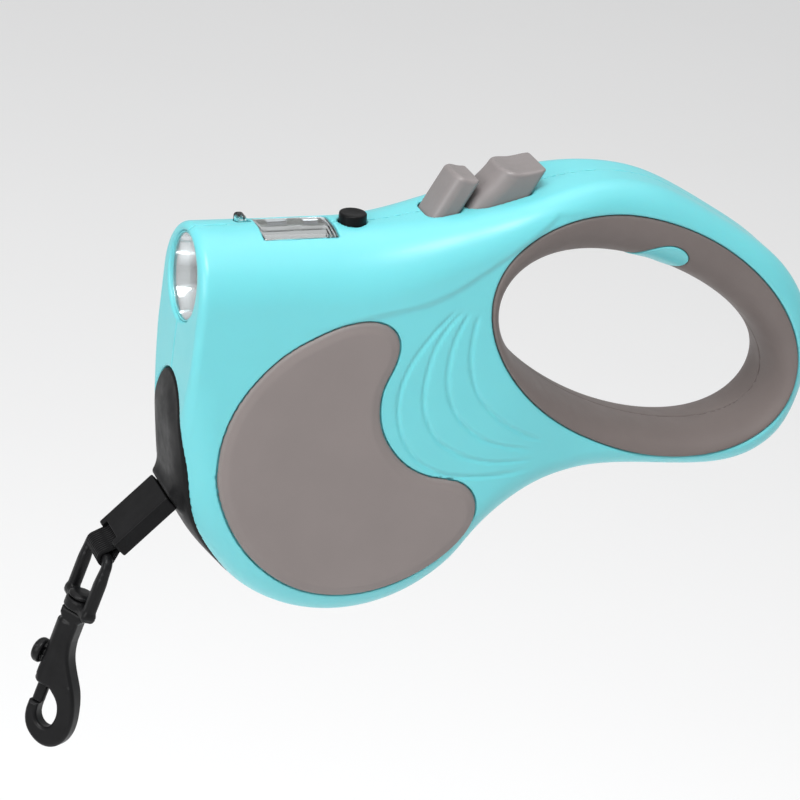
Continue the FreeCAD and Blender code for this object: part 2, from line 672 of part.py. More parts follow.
def lamp_leds():
    leds = []
    for x in LAMP_LEDS:
        leds.append(rod(2.45, xz(x, 60.4), xz(x, 63.4)).fuse(Part.makeSphere(2.45, xz(x, 63.4))).removeSplitter())
    return tilted(Part.makeCompound(leds))


def lamp_board():
    board = block((-32.6, 3.4), (-9, 9), (58.9, 60.3))
    return tilted(board)


def tact_switch():
    body = block((SWITCH_X - 3, SWITCH_X + 3), (-3, 3), (60.3, 64.0))
    plunger = rod(1.6, xz(SWITCH_X, 64.0), xz(SWITCH_X, 64.7))
    return tilted(body.fuse(plunger))


def switch_button():
    cap = rod(4.0, xz(SWITCH_X, 66.2), xz(SWITCH_X, 72.8))
    cap = cap.makeFillet(0.7, [edge for edge in cap.Edges if edge.BoundBox.ZMin > 72.7])
    lip = rod(4.9, xz(SWITCH_X, 66.2), xz(SWITCH_X, 67.4))
    return tilted(cap.fuse(lip))


def lamp_catch():
    """The spring catch that holds the lamp unit, with a nub that stands out ahead of the window."""
    nub = block((-38.3, -35.3), (CATCH_Y - 2.3, CATCH_Y + 2.3), (66.0, 71.9))
    nub = nub.makeFillet(0.9, [edge for edge in nub.Edges if edge.BoundBox.ZMin > 71.8])
    foot = block((-40.4, -35.0), (CATCH_Y - 3.6, CATCH_Y + 3.6), (64.2, 66.4))
    return tilted(nub.fuse(foot).removeSplitter())


def battery_case():
    case = block((-32.6, -12.4), (-7.4, 7.4), (43.2, 57.4))
    cells = rod(5.95, Vector(-31.4, 0, 50.3), Vector(-13.6, 0, 50.3))
    channel = block((-31.4, -13.6), (-5.95, 5.95), (50.3, 60))
    return case.cut(cells).cut(channel)


def battery_cells():
    cells = []
    for index in range(3):
        start = -30.6 + index * 5.45
        cells.append(rod(5.8, Vector(start, 0, 50.3), Vector(start + 5.35, 0, 50.3)))
    return Part.makeCompound(cells)


def battery_contacts():
    front = block((-31.4, -30.8), (-4, 4), (46.2, 56.8))
    rear = block((-14.2, -13.6), (-4, 4), (46.2, 56.8))
    return Part.makeCompound([front, rear])


# ---------------------------------------------------------------- the assembly
CASING_WALLS = casing_skin().cut(casing_hollow())
PIECES = {
    "left_shell": casing_half(CASING_WALLS, -1),
    "right_shell": casing_half(CASING_WALLS, 1),
    "left_grip": grip_half(-1),
    "right_grip": grip_half(1),
    "left_grip_inlay": drop_half(-1),
    "right_grip_inlay": drop_half(1),
    "left_side_panel": side_panel(-1),
    "right_side_panel": side_panel(1),
    "housing_screws": housing_screws(),
    "tape_outlet_guide": tape_outlet_guide(),
    "reel_axle": rod(AXLE_R, xz(0, 0, -(BODY_SIDE - WALL)), xz(0, 0, BODY_SIDE - WALL)),
    "thrust_washer": ring_disc(5.4, AXLE_R, -11.4, -10.5),
    "spring_arbor": ring_disc(4.6, AXLE_R, 9.2, 16.2),
    "reel_drum": reel_drum(),
    "reel_flange": reel_flange(),
    "mainspring": mainspring(),
    "mainspring_cover": ring_disc(26.6, 7.2, 14.9, 15.9),
    "tape_pack": ring_disc(PACK_R, CORE_R, -TAPE_WIDTH / 2, TAPE_WIDTH / 2),
    "tape_lead": tape_lead(),
    "tape_end_sleeve": tape_end_sleeve(),
    "tape_loop": tape_loop(),
    "swivel_ring": swivel_ring(),
    "swivel_stud": swivel_stud(),
    "snap_body": snap_body(),
    "snap_bolt": snap_bolt(),
    "snap_spring": snap_spring(),
    "brake_trigger": brake_trigger(),
    "brake_spring": brake_spring(),
    "lock_trigger": lock_trigger(),
    "lock_spring": lock_spring(),
    "spring_bracket": spring_bracket(),
    "torch_bezel": torch_bezel(),
    "torch_lens": torch_lens(),
    "torch_reflector": torch_reflector(),
    "torch_led": torch_led(),
    "torch_board": torch_board(),
    "lamp_window": lamp_window(),
    "lamp_tray": lamp_tray(),
    "lamp_leds": lamp_leds(),
    "lamp_board": lamp_board(),
    "lamp_catch": lamp_catch(),
    "switch_button": switch_button(),
    "tact_switch": tact_switch(),
    "battery_case": battery_case(),
    "battery_cells": battery_cells(),
    "battery_contacts": battery_contacts(),
}

os.makedirs("parts", exist_ok=True)
TO_ROW = Vector(-REEL_TO_OPENING[0], 0, -REEL_TO_OPENING[1])
for name, shape in PIECES.items():
    shape = shape.copy()
    shape.translate(TO_ROW)
    shape.exportStep("parts/" + name + ".step")
    print(name, len(shape.Solids), "solids", round(shape.Volume), "mm3", "valid" if shape.isValid() else "INVALID")
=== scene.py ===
"""Looks for the retractable leash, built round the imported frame.

Lengths are millimetres about the reel's centre, as in the part's source: X to the rear, Y to the
right side, Z up. place() puts them in the row frame, in metres.
"""

import json
import math

import bpy
import numpy as np
from mathutils import Matrix, Vector


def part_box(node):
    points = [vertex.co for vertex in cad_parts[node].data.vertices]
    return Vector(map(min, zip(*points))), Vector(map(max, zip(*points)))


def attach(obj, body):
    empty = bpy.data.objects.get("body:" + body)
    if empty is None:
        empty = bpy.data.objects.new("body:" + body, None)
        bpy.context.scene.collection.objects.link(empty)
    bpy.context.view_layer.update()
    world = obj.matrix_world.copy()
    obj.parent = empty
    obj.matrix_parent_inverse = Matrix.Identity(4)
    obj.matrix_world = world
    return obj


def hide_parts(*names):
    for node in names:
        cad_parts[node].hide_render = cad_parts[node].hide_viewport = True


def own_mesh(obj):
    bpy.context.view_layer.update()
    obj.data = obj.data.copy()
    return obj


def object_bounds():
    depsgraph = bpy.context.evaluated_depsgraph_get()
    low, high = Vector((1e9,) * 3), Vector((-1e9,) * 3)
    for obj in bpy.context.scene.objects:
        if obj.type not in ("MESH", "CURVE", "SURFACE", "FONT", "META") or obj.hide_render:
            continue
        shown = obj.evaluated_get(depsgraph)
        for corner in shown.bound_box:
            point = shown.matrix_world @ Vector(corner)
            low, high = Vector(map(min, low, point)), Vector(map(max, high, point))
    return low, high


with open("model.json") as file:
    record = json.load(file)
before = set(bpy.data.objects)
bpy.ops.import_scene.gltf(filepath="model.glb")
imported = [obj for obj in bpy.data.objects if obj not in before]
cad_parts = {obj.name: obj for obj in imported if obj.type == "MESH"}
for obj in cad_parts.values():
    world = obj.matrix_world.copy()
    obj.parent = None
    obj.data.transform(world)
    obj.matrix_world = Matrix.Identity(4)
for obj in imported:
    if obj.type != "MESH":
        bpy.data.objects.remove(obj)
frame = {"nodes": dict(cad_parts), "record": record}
cad_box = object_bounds()
axle_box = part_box("reel_axle")
REEL = np.array(axle_box[0] + axle_box[1]) / 2
MM = 0.001

# ---------------------------------------------------------------- sizes shared with the part
BODY_SIDE = 18.9                    # half thickness of the casing's flat side
BULGE = 0.9                         # the barrel and upper arm stand out this much more
PANEL_FACE = 20.0
HANDLE_SIDE = 14.5
FLARE_X = (38.0, 80.0)              # the casing thins from the body to the hand loop here
WALL = 2.4
FRONT_X = -53.0
OPENING = (86.5, 40.8)              # centre of the hand opening
RIM_TILT = -24.4
HOLE_TILT = -20.5
RIM_AXES = (55.2, 34.6)
HOLE_AXES = (49.2, 23.9)
HOLE_SHIFT = (-0.1, -3.7)
GRIP_SKIN = 1.8
TORCH_Z = 55.0
TORCH_R = 12.9
TOP_FRONT = (-46.6, 70.4)
LAMP_SLOPE = math.atan2(1.8, 46.6)
LAMP_X = (-33.2, -10.8)
LAMP_SIDE = 8.2
SWITCH_X = -4.6
CATCH_Y = 4.0
TAPE_ANGLE = math.radians(46.5)
LEAD_OFFSET = 28.5
MOUTH = 43.0
TAPE_WIDTH = 13.0
SLEEVE_LENGTH = 20.6
SLEEVE_HALF = (8.0, 2.6)
RING_DROP = 18.0
SNAP_TURN = math.radians(46.0)
BOLT_X = 1.2
PRESS = math.radians(63.8)
BRAKE_N = (-9.4, 4.7)
LOCK_N = (-18.2, -11.0)
BRAKE_HALF = 7.5
LOCK_HALF = 6.5
GAP = 0.3
SCREWS = [(-44, 33), (0, 50), (42, 20), (46, -4), (66, 3.5), (84, 81.6), (124.5, 60.4)]


# ---------------------------------------------------------------- lines and charts
def smooth_line(points, closed=False, spacing=1.2):
    """Points along a cubic spline through the given ones."""
    knots = np.array(points, float)
    if closed:
        knots = np.vstack([knots[-3:], knots, knots[:4]])
    chord = np.r_[0, np.cumsum(np.linalg.norm(np.diff(knots, axis=0), axis=1))]
    gap = np.diff(chord)
    slope = np.diff(knots, axis=0) / gap[:, None]
    size = len(knots)
    system, right = np.eye(size), np.zeros_like(knots)
    for k in range(1, size - 1):
        system[k, k - 1:k + 2] = gap[k - 1], 2 * (gap[k - 1] + gap[k]), gap[k]
        right[k] = 6 * (slope[k] - slope[k - 1])
    bend = np.linalg.solve(system, right)
    first, last = (chord[3], chord[size - 4]) if closed else (0, chord[-1])
    at = np.linspace(first, last, math.ceil((last - first) / spacing) + 1)
    if closed:
        at = at[:-1]
    k = np.clip(np.searchsorted(chord, at, "right") - 1, 0, size - 2)
    span = gap[k][:, None]
    before, after = (chord[k + 1] - at)[:, None], (at - chord[k])[:, None]
    cubic = (bend[k] * before ** 3 + bend[k + 1] * after ** 3) / (6 * span)
    return (cubic + (knots[k] / span - bend[k] * span / 6) * before
            + (knots[k + 1] / span - bend[k + 1] * span / 6) * after)


class Chart:
    """A grid of points in one plane, on which distances to drawn lines are kept."""

    def __init__(self, low, high, step):
        self.low, self.step = low, step
        axes = [np.arange(a, b + step, step) for a, b in zip(low, high)]
        self.u, self.v = np.meshgrid(*axes, indexing="ij")

    def nearest(self, line, closed):
        """Distance to a line, whether inside it, and how far along it the nearest point is."""
        ends = np.roll(line, -1, axis=0) if closed else line[1:]
        starts = line if closed else line[:-1]
        best = np.full(self.u.shape, np.inf)
        along = np.zeros(self.u.shape)
        inside = np.zeros(self.u.shape, bool)
        for index, ((ua, va), (ub, vb)) in enumerate(zip(starts, ends)):
            du, dv = ub - ua, vb - va
            t = np.clip(((self.u - ua) * du + (self.v - va) * dv) / (du * du + dv * dv), 0, 1)
            gap = (self.u - ua - t * du) ** 2 + (self.v - va - t * dv) ** 2
            along = np.where(gap < best, (index + t) / len(starts), along)
            best = np.minimum(best, gap)
            if abs(dv) > 1e-9:
                crossed = (va > self.v) != (vb > self.v)
                inside ^= crossed & (self.u < ua + (self.v - va) * du / dv)
        return np.sqrt(best), inside, along

    def signed(self, line):
        """Distance to a closed line, negative inside it."""
        gap, inside, _ = self.nearest(line, True)
        return np.where(inside, -gap, gap)

    def look_up(self, values, u, v):
        """Bilinear values at any points; values may hold several numbers at each grid point."""
        a = np.clip((u - self.low[0]) / self.step, 0, values.shape[0] - 1.001)
        b = np.clip((v - self.low[1]) / self.step, 0, values.shape[1] - 1.001)
        i, j = a.astype(int), b.astype(int)
        a, b = a - i, b - j
        if values.ndim == 3:
            a, b = a[..., None], b[..., None]
        return ((values[i, j] * (1 - a) + values[i + 1, j] * a) * (1 - b)
                + (values[i, j + 1] * (1 - a) + values[i + 1, j + 1] * a) * b)


def ramp(value, low, high):
    """0 before low, 1 after high, smooth between."""
    t = np.clip((value - low) / (high - low), 0, 1)
    return t * t * (3 - 2 * t)


# ---------------------------------------------------------------- solid formulas, negative inside
def meet(a, b, radius=0.0):
    """Where both are solid, with a round edge of this radius between them."""
    return (np.minimum(np.maximum(a, b), -radius)
            + np.hypot(np.maximum(a + radius, 0), np.maximum(b + radius, 0)))


def join(a, b, radius=0.0):
    """Where either is solid, with a fillet of this radius between them."""
    return -meet(-a, -b, radius)


def cut(a, b, radius=0.0):
    return meet(a, -b, radius)


def slab(value, low, high):
    return np.maximum(low - value, value - high)


def brick(x, y, z, xs, ys, zs, radius=0.0):
    """A box from its lowest and highest value on each axis, with round edges."""
    sides = [slab(value, *ends) + radius for value, ends in ((x, xs), (y, ys), (z, zs))]
    outside = np.sqrt(sum(np.maximum(s, 0) ** 2 for s in sides))
    return outside + np.minimum(np.maximum.reduce(sides), 0) - radius


def rod(a, b, radius, along=None, ends=None):
    """A round bar, from its two coordinates across the axis."""
    bar = np.hypot(a, b) - radius
    return bar if along is None else np.maximum(bar, slab(along, *ends))


# ---------------------------------------------------------------- side view of the casing
SIDE = Chart((-86, -58), (152, 98), 0.7)

BACK = [
    (0, 72.2), (20, 76), (33, 79.2), (47, 83.6), (60, 87), (72, 88), (85, 86), (98, 80.8),
    (112, 73.6), (128, 63.6), (139.4, 49.6), (143.6, 33), (142.4, 18), (137.8, 7.4),
    (128, 0), (111, -2.7), (87.3, -2), (74.4, -2.8), (62, -6), (50.6, -13.4),
    (42.2, -22.4),
]
BELLY_R, BELLY_CENTRE = 48.09, (0.58, 1.68)


def belly():
    """The round belly, from rear to front."""
    turns = np.radians(np.arange(-40, -142, -11.0))
    return [(BELLY_CENTRE[0] + BELLY_R * math.cos(t), BELLY_CENTRE[1] + BELLY_R * math.sin(t))
            for t in turns]


def side_outline():
    """The casing from the side, run out ahead of its flat front, which is cut square later."""
    top = [(-80, 69.1), (-60, 69.9), TOP_FRONT, (-30, 71.05), (-15, 71.6)]
    nose = [(-47.8, -13.6), (-51.0, -3), (-53.8, 8), (-61, 20), (-74, 26), (-80, 27)]
    line = smooth_line(top + BACK + belly() + nose)
    return np.vstack([line, [(-86, 27), (-86, 69)]])


def ellipse(axes, centre, slope):
    turn = np.linspace(0, 2 * math.pi, 180, endpoint=False)
    a, b = axes[0] * np.cos(turn), axes[1] * np.sin(turn)
    tilt = math.radians(slope)
    return np.stack([centre[0] + a * math.cos(tilt) - b * math.sin(tilt),
                     centre[1] + a * math.sin(tilt) + b * math.cos(tilt)], -1)


PANEL_LINE = smooth_line([
    (-4, 48.5), (0.6, 48.2), (4.9, 46.2), (7.4, 42.6), (7.8, 38.4), (6.7, 33.6), (4.8, 28.2),
    (4.4, 22), (5.8, 15.4), (9, 9.6), (13.6, 4.6), (19.4, 0.9), (26, -1), (32, -2.2), (36.4, -5.2),
    (38.7, -9.8), (38.4, -15.4), (34.8, -22), (27.6, -28.8), (18, -34.2), (7, -37.4), (-3.6, -37.7),
    (-14, -35.1), (-23.5, -29.5), (-31.5, -21.7), (-37.7, -11.9), (-41.3, -2), (-42.1, 6),
    (-41, 15), (-37.6, 24.3), (-32.1, 32.4), (-25, 39.3), (-16.3, 44.5), (-10, 47.3),
], closed=True)

GROOVES = [
    [(24.5, 53.3), (18.3, 45.8), (12.5, 36.3), (10, 28.4), (9.8, 21.8), (11.1, 16.1), (14.8, 8.9),
     (20.3, 3.4), (26.5, 0.5), (37.6, -0.6), (46.4, -0.2), (56.4, 1.2)],
    [(26.3, 52.6), (19.9, 43.6), (17.5, 34), (17.2, 26.1), (18.7, 19), (22.4, 12.7), (27.9, 8.2),
     (34.5, 5.3), (43.6, 3.7), (56.4, 4.1)],
    [(27.9, 52.2), (24.9, 44.9), (23.6, 36.6), (24.2, 28.2), (26.7, 21.6), (31.1, 16.1),
     (36.5, 12), (42.7, 9.4), (56, 6.6)],
    [(30.4, 51.3), (29.7, 44.4), (29.8, 38.3), (30.9, 32.5), (33.9, 25.9), (38.8, 20),
     (44.3, 15.9), (50.1, 12.6), (59.1, 9.3)],
]
GROOVE_DEPTH, GROOVE_HALF = 0.55, 0.62
CREASE = [(-26, 44.2), (-17, 45.8), (-1.6, 50.1), (9.8, 52.8), (17.4, 55.4), (28.4, 62.4),
          (39.1, 70.4), (44.8, 75), (51, 80.4)]
CREASE_HALF = 1.5
TOP_ROUND, BELLY_ROUND, LOOP_ROUND, FRONT_ROUND = 18.6, 11.0, 8.0, 2.6


def casing_charts():
    """Side outline, rim, clear hole, smooth half thickness, moulded detail and edge radius."""
    x, z = SIDE.u, SIDE.v
    outline = SIDE.signed(side_outline())
    rim = SIDE.signed(ellipse(RIM_AXES, OPENING, RIM_TILT))
    centre = (OPENING[0] + HOLE_SHIFT[0], OPENING[1] + HOLE_SHIFT[1])
    hole = SIDE.signed(ellipse(HOLE_AXES, centre, HOLE_TILT))
    half = BODY_SIDE + (HANDLE_SIDE - BODY_SIDE) * ramp(x, *FLARE_X)
    crease = smooth_line(CREASE)
    above = z - np.interp(x, crease[:, 0], crease[:, 1])
    shown = ramp(x, -30, 8) * (1 - ramp(x, 44, 74))
    detail = BULGE * ramp(above, -CREASE_HALF, CREASE_HALF) * shown
    for groove in GROOVES:
        gap, _, along = SIDE.nearest(smooth_line(groove), False)
        strength = ramp(along, 0, 0.07) * (1 - ramp(along, 0.88, 1))
        detail = detail - GROOVE_DEPTH * strength * np.exp(-(gap / GROOVE_HALF) ** 2)
    top = TOP_ROUND + (LOOP_ROUND - TOP_ROUND) * ramp(x, -14, 52)
    low = BELLY_ROUND + (LOOP_ROUND - BELLY_ROUND) * ramp(x, 42, 70)
    radius = low + (top - low) * ramp(z, 8, 36)
    return np.stack([outline, rim, hole, half, detail, radius], -1)


CASING = casing_charts()
PANEL = SIDE.signed(PANEL_LINE)
NOSE = Chart((-20, -50), (20, 32), 0.5)
SHIELD_HALF = [(0, 26.5), (6.5, 24.4), (11.2, 18.6), (13.7, 10), (14.2, -3), (12.9, -18),
               (10, -31), (5.6, -40.2), (0, -43.2)]
SHIELD = NOSE.signed(smooth_line(SHIELD_HALF + [(-y, z) for y, z in SHIELD_HALF[-2:0:-1]],
                                 closed=True))
DROP = SIDE.signed(smooth_line([
    (78.4, 62.6), (81.6, 65.6), (85.2, 68.2), (89.8, 69.4), (94.4, 67.8), (96.7, 64.4),
    (94.9, 60.9), (91, 61), (86.6, 62.8), (82, 63.2),
], closed=True))


def casing_solid(x, y, z):
    """The casing before its edge round the hand opening is cut, with the charts' values there."""
    chart = SIDE.look_up(CASING, x, z)
    outline, rim, hole, half, detail, radius = np.moveaxis(chart, -1, 0)
    solid = meet(outline, np.abs(y) - half - detail, radius)
    return meet(solid, FRONT_X - x, FRONT_ROUND), rim, hole, half


def crown(y, rim, hole, half, inward=0.0):
    """The grip's rounded inner face; inward runs the same shape this far under it."""
    width = np.maximum(hole - inward - rim, 0.5)
    share = np.clip(-rim / width, 0, None)
    return ((share ** 2.3 + (np.abs(y) / (half - inward * 0.9)) ** 2.3) ** (1 / 2.3) - 1) * 8


def lamp_place(x, z):
    """Coordinates along and square to the slightly rising top of the barrel."""
    dx, dz = x - TOP_FRONT[0], z - TOP_FRONT[1]
    c, s = math.cos(LAMP_SLOPE), math.sin(LAMP_SLOPE)
    return TOP_FRONT[0] + dx * c + dz * s, TOP_FRONT[1] - dx * s + dz * c


def press_place(x, z):
    """Coordinates across and along the triggers' slide direction."""
    c, s = math.cos(PRESS), math.sin(PRESS)
    return x * s - z * c, x * c + z * s


def trigger_plan(n, y, low, high, half, front_radius):
    """A trigger seen along its slide: a round front and nearly square rear."""
    front = np.hypot(np.maximum(low + front_radius - n, 0),
                     np.maximum(np.abs(y) - half + front_radius, 0)) - front_radius
    sides = np.maximum(slab(n, low, high), np.abs(y) - half)
    square = meet(n - high, np.abs(y) - half, 1.4)
    nose = n < low + front_radius
    return np.where(nose, np.maximum(np.maximum(front, low - n), np.abs(y) - half),
                    np.maximum(square, sides))


def openings(x, y, z):
    """Every opening through the casing's walls, as (solid formula, edge radius)."""
    across, along = press_place(x, z)
    u, w = lamp_place(x, z)
    brake = trigger_plan(across, y, BRAKE_N[0] - GAP, BRAKE_N[1] + GAP, BRAKE_HALF + GAP, 5.6)
    lock = trigger_plan(across, y, LOCK_N[0] - GAP, LOCK_N[1] + GAP, LOCK_HALF + GAP, 3.4)
    shield = NOSE.look_up(SHIELD, y, z)
    return [
        (rod(y, z - TORCH_Z, TORCH_R, x, (-70, -46.2)), 0.9),
        (brick(u, y, w, LAMP_X, (-LAMP_SIDE, LAMP_SIDE), (60, 80), 0.8), 0.35),
        (brick(u, y, w, (-38.7, -34.0), (CATCH_Y - 2.6, CATCH_Y + 2.6), (62, 80), 0.8), 0.3),
        (rod(x - SWITCH_X, y, 4.25, z, (60, 80)), 0.4),
        (np.maximum(brake, 60 - along), 0.5),
        (np.maximum(lock, 60 - along), 0.5),
        (np.maximum(shield, x + 24.5), 0.6),
    ]


def shell_field(side):
    """One half of the casing: -1 is the left half, 1 the right half with the screw heads."""
    def field(x, y, z):
        outer, rim, hole, half = casing_solid(x, y, z)
        solid = meet(outer, -rim, 0.9)
        core = np.maximum(crown(y, rim, hole, half, GRIP_SKIN), rim - 1.5)
        solid = np.minimum(solid, core)
        hollow = np.maximum.reduce([outer + WALL, x - 56, GRIP_SKIN + 3.0 - hole])
        solid = cut(solid, hollow)
        for sx, sz in SCREWS:
            end = BODY_SIDE - WALL + 0.5 if sx < 60 else 9.0
            solid = np.minimum(solid, rod(x - sx, z - sz, 3.0, y * side, (-1, end)))
        solid = np.minimum(solid, rod(x, z, 6.0, y * side, (16.2 if side > 0 else 11.4, 17)))
        pocket = np.maximum(SIDE.look_up(PANEL, x, z) - 0.3, PANEL_FACE - 2.15 - y * side)
        solid = cut(solid, pocket, 0.3)
        solid = np.maximum(solid, 3.0 - np.hypot(x, z))
        for opening, radius in openings(x, y, z):
            solid = cut(solid, opening, radius)
        if side > 0:
            for sx, sz in SCREWS:
                seat = {84: 14.5, 124.5: 14.5, 66: 15.6, 46: 18.7, 42: 19.0}.get(sx, 19.2) - 3.4
                solid = cut(solid, rod(x - sx, z - sz, 2.6, y, (seat, 30)), 0.25)
        return np.maximum(solid, 0.02 - y * side)
    return field


# ---------------------------------------------------------------- meshing a formula
BLOCK = 8
CORNERS = np.array([(i, j, k) for i in (0, 1) for j in (0, 1) for k in (0, 1)])
QUICK = 1.0


def gradient(field, points, reach):
    steps = np.eye(3) * reach
    rises = [field(*(points + s).T) - field(*(points - s).T) for s in steps]
    return np.stack(rises, -1) / (2 * reach)


def skin(field, low, high, step, coarse=None):
    """Vertices, normals and faces of the surface where a formula is zero.

    Each grid cell that the surface crosses gets one vertex, moved onto the surface. Cells whose
    vertex coarse() accepts are merged two by two by two, where detail is never seen.
    """
    step = step * QUICK
    low = np.array(low, float) - step * 1.37
    blocks = np.ceil((np.array(high) + step - low) / step / BLOCK).astype(int)
    size = blocks * BLOCK + 1
    values = np.full(size, 1e3)
    origin = np.stack(np.meshgrid(*[np.arange(b) for b in blocks], indexing="ij"), -1)
    origin = origin.reshape(-1, 3)
    middle = low + (origin + 0.5) * BLOCK * step
    reach = BLOCK * step * 0.5 * math.sqrt(3) * 1.3 + step
    near = origin[np.abs(field(*middle.T)) < reach] * BLOCK
    offsets = np.stack(np.meshgrid(*[np.arange(BLOCK + 1)] * 3, indexing="ij"), -1).reshape(-1, 3)
    for start in range(0, len(near), 600):
        at = (near[start:start + 600, None] + offsets).reshape(-1, 3)
        values[tuple(at.T)] = field(*(low + at * step).T)
    solid = values < 0
    count = sum(solid[i:size[0] - 1 + i, j:size[1] - 1 + j, k:size[2] - 1 + k].astype(np.int8)
                for i, j, k in CORNERS)
    blocked = np.zeros(blocks, bool)
    blocked[tuple((near // BLOCK).T)] = True
    known = np.repeat(np.repeat(np.repeat(blocked, BLOCK, 0), BLOCK, 1), BLOCK, 2)
    cells = np.argwhere((count > 0) & (count < 8) & known)
    corner = values[tuple((cells[:, None] + CORNERS).transpose(2, 0, 1))]
    total, hits = np.zeros((len(cells), 3)), np.zeros(len(cells))
    for a in range(8):
        for b in range(a + 1, 8):
            if np.abs(CORNERS[a] - CORNERS[b]).sum() != 1:
                continue
            crossed = (corner[:, a] < 0) != (corner[:, b] < 0)
            share = np.where(crossed, corner[:, a] / (corner[:, a] - corner[:, b] + 1e-12), 0)
            total += crossed[:, None] * (CORNERS[a] + share[:, None] * (CORNERS[b] - CORNERS[a]))
            hits += crossed
    points = low + (cells + total / hits[:, None]) * step

    number = np.full(count.shape, -1)
    number[tuple(cells.T)] = np.arange(len(cells))
    if coarse is not None:
        merged = coarse(*points.T)
        half = cells // 2
        key = (half[:, 0] * 4096 + half[:, 1]) * 4096 + half[:, 2]
        key = np.where(merged, key, 4096 ** 3 + np.arange(len(cells)))
        _, group = np.unique(key, return_inverse=True)
        weight = np.bincount(group)
        points = np.stack([np.bincount(group, c) / weight for c in points.T], -1)
        number[tuple(cells.T)] = group
    slope = gradient(field, points, step * 0.25)
    slope = slope / np.maximum((slope ** 2).sum(1), 0.05)[:, None]
    for _ in range(2):
        move = -field(*points.T)[:, None] * slope
        length = np.linalg.norm(move, axis=1, keepdims=True)
        points = points + move * np.minimum(1, step * 0.6 / np.maximum(length, 1e-9))
    slope = gradient(field, points, step * 0.3)
    normals = slope / np.maximum(np.linalg.norm(slope, axis=1, keepdims=True), 1e-9)

    quads = []
    for axis in range(3):
        one, two = [(1, 2), (2, 0), (0, 1)][axis]
        start = [slice(1, -1)] * 3
        start[axis] = slice(0, -1)
        end = list(start)
        end[axis] = slice(1, None)
        first, second = solid[tuple(start)], solid[tuple(end)]
        at = np.argwhere(first != second)
        inward = first[tuple(at.T)]
        at[:, one] += 1
        at[:, two] += 1
        back_one, back_two = np.eye(3, dtype=int)[one], np.eye(3, dtype=int)[two]
        ring = [at - back_one - back_two, at - back_two, at, at - back_one]
        ids = np.stack([number[tuple(r.T)] for r in ring], -1)
        quads.append(np.where(inward[:, None], ids, ids[:, ::-1]))
    quads = np.vstack(quads)
    quads = quads[(quads >= 0).all(1)]
    return points, normals, tidy_faces(quads)


def tidy_faces(quads):
    """Four-sided faces and the triangles left where two corners were merged."""
    same = quads == np.roll(quads, -1, axis=1)
    opposite = (quads[:, 0] == quads[:, 2]) | (quads[:, 1] == quads[:, 3])
    whole = quads[~same.any(1) & ~opposite]
    once = (same.sum(1) == 1) & ~opposite
    kept = np.argsort(same[once], axis=1, kind="stable")[:, :3]
    kept.sort(axis=1)
    triangles = np.take_along_axis(quads[once], kept, axis=1)
    result = []
    for faces in (whole, triangles):
        _, index, times = np.unique(np.sort(faces, axis=1), axis=0, return_index=True,
                                    return_counts=True)
        result.append(faces[index[times == 1]])
    return result


# ---------------------------------------------------------------- making pieces
class Place:
    """A local frame: an origin and three directions, in the reel's frame."""

    def __init__(self, origin=(0, 0, 0), x_axis=(1, 0, 0), z_axis=(0, 0, 1)):
        x_axis, z_axis = np.array(x_axis, float), np.array(z_axis, float)
        z_axis = z_axis / np.linalg.norm(z_axis)
        x_axis = x_axis - z_axis * (x_axis @ z_axis)
        x_axis = x_axis / np.linalg.norm(x_axis)
        self.origin = np.array(origin, float)
        self.turn = np.stack([x_axis, np.cross(z_axis, x_axis), z_axis], -1)

    def out(self, points):
        return self.origin + np.asarray(points) @ self.turn.T

    def into(self, x, y, z):
        shifted = np.stack([x, y, z], -1) - self.origin
        return np.moveaxis(shifted @ self.turn, -1, 0)


REEL_PLACE = Place()


def piece(name, points, faces, material, body, nodes=(), place=REEL_PLACE, normals=None):
    """A mesh piece from points in a local frame, riding on a body and standing for CAD nodes."""
    faces = [np.asarray(group, int).reshape(len(group), -1) for group in faces if len(group)]
    used = np.unique(np.concatenate([group.ravel() for group in faces]))
    renumber = np.zeros(len(points), int)
    renumber[used] = np.arange(len(used))
    points = place.out(np.asarray(points)[used]) * MM + REEL
    mesh = bpy.data.meshes.new(name)
    mesh.vertices.add(len(points))
    mesh.vertices.foreach_set("co", points.astype(np.float32).ravel())
    corners = np.concatenate([renumber[group].ravel() for group in faces])
    sizes = np.concatenate([np.full(len(group), group.shape[1]) for group in faces])
    mesh.loops.add(len(corners))
    mesh.loops.foreach_set("vertex_index", corners.astype(np.int32))
    mesh.polygons.add(len(sizes))
    mesh.polygons.foreach_set("loop_start", (np.cumsum(sizes) - sizes).astype(np.int32))
    mesh.update(calc_edges=True)
    mesh.validate()
    mesh.shade_smooth()
    if normals is not None:
        mesh.normals_split_custom_set_from_vertices((normals[used] @ place.turn.T).tolist())
    made = bpy.data.objects.new(name, mesh)
    bpy.context.scene.collection.objects.link(made)
    mesh.materials.append(material)
    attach(made, body)
    if nodes:
        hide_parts(*nodes)
    return made


def moulded(name, field, low, high, step, material, body, nodes=(), place=REEL_PLACE,
            coarse=None):
    """A piece meshed from its solid formula."""
    points, normals, faces = skin(field, low, high, step, coarse)
    return piece(name, points, faces, material, body, nodes, place, normals)


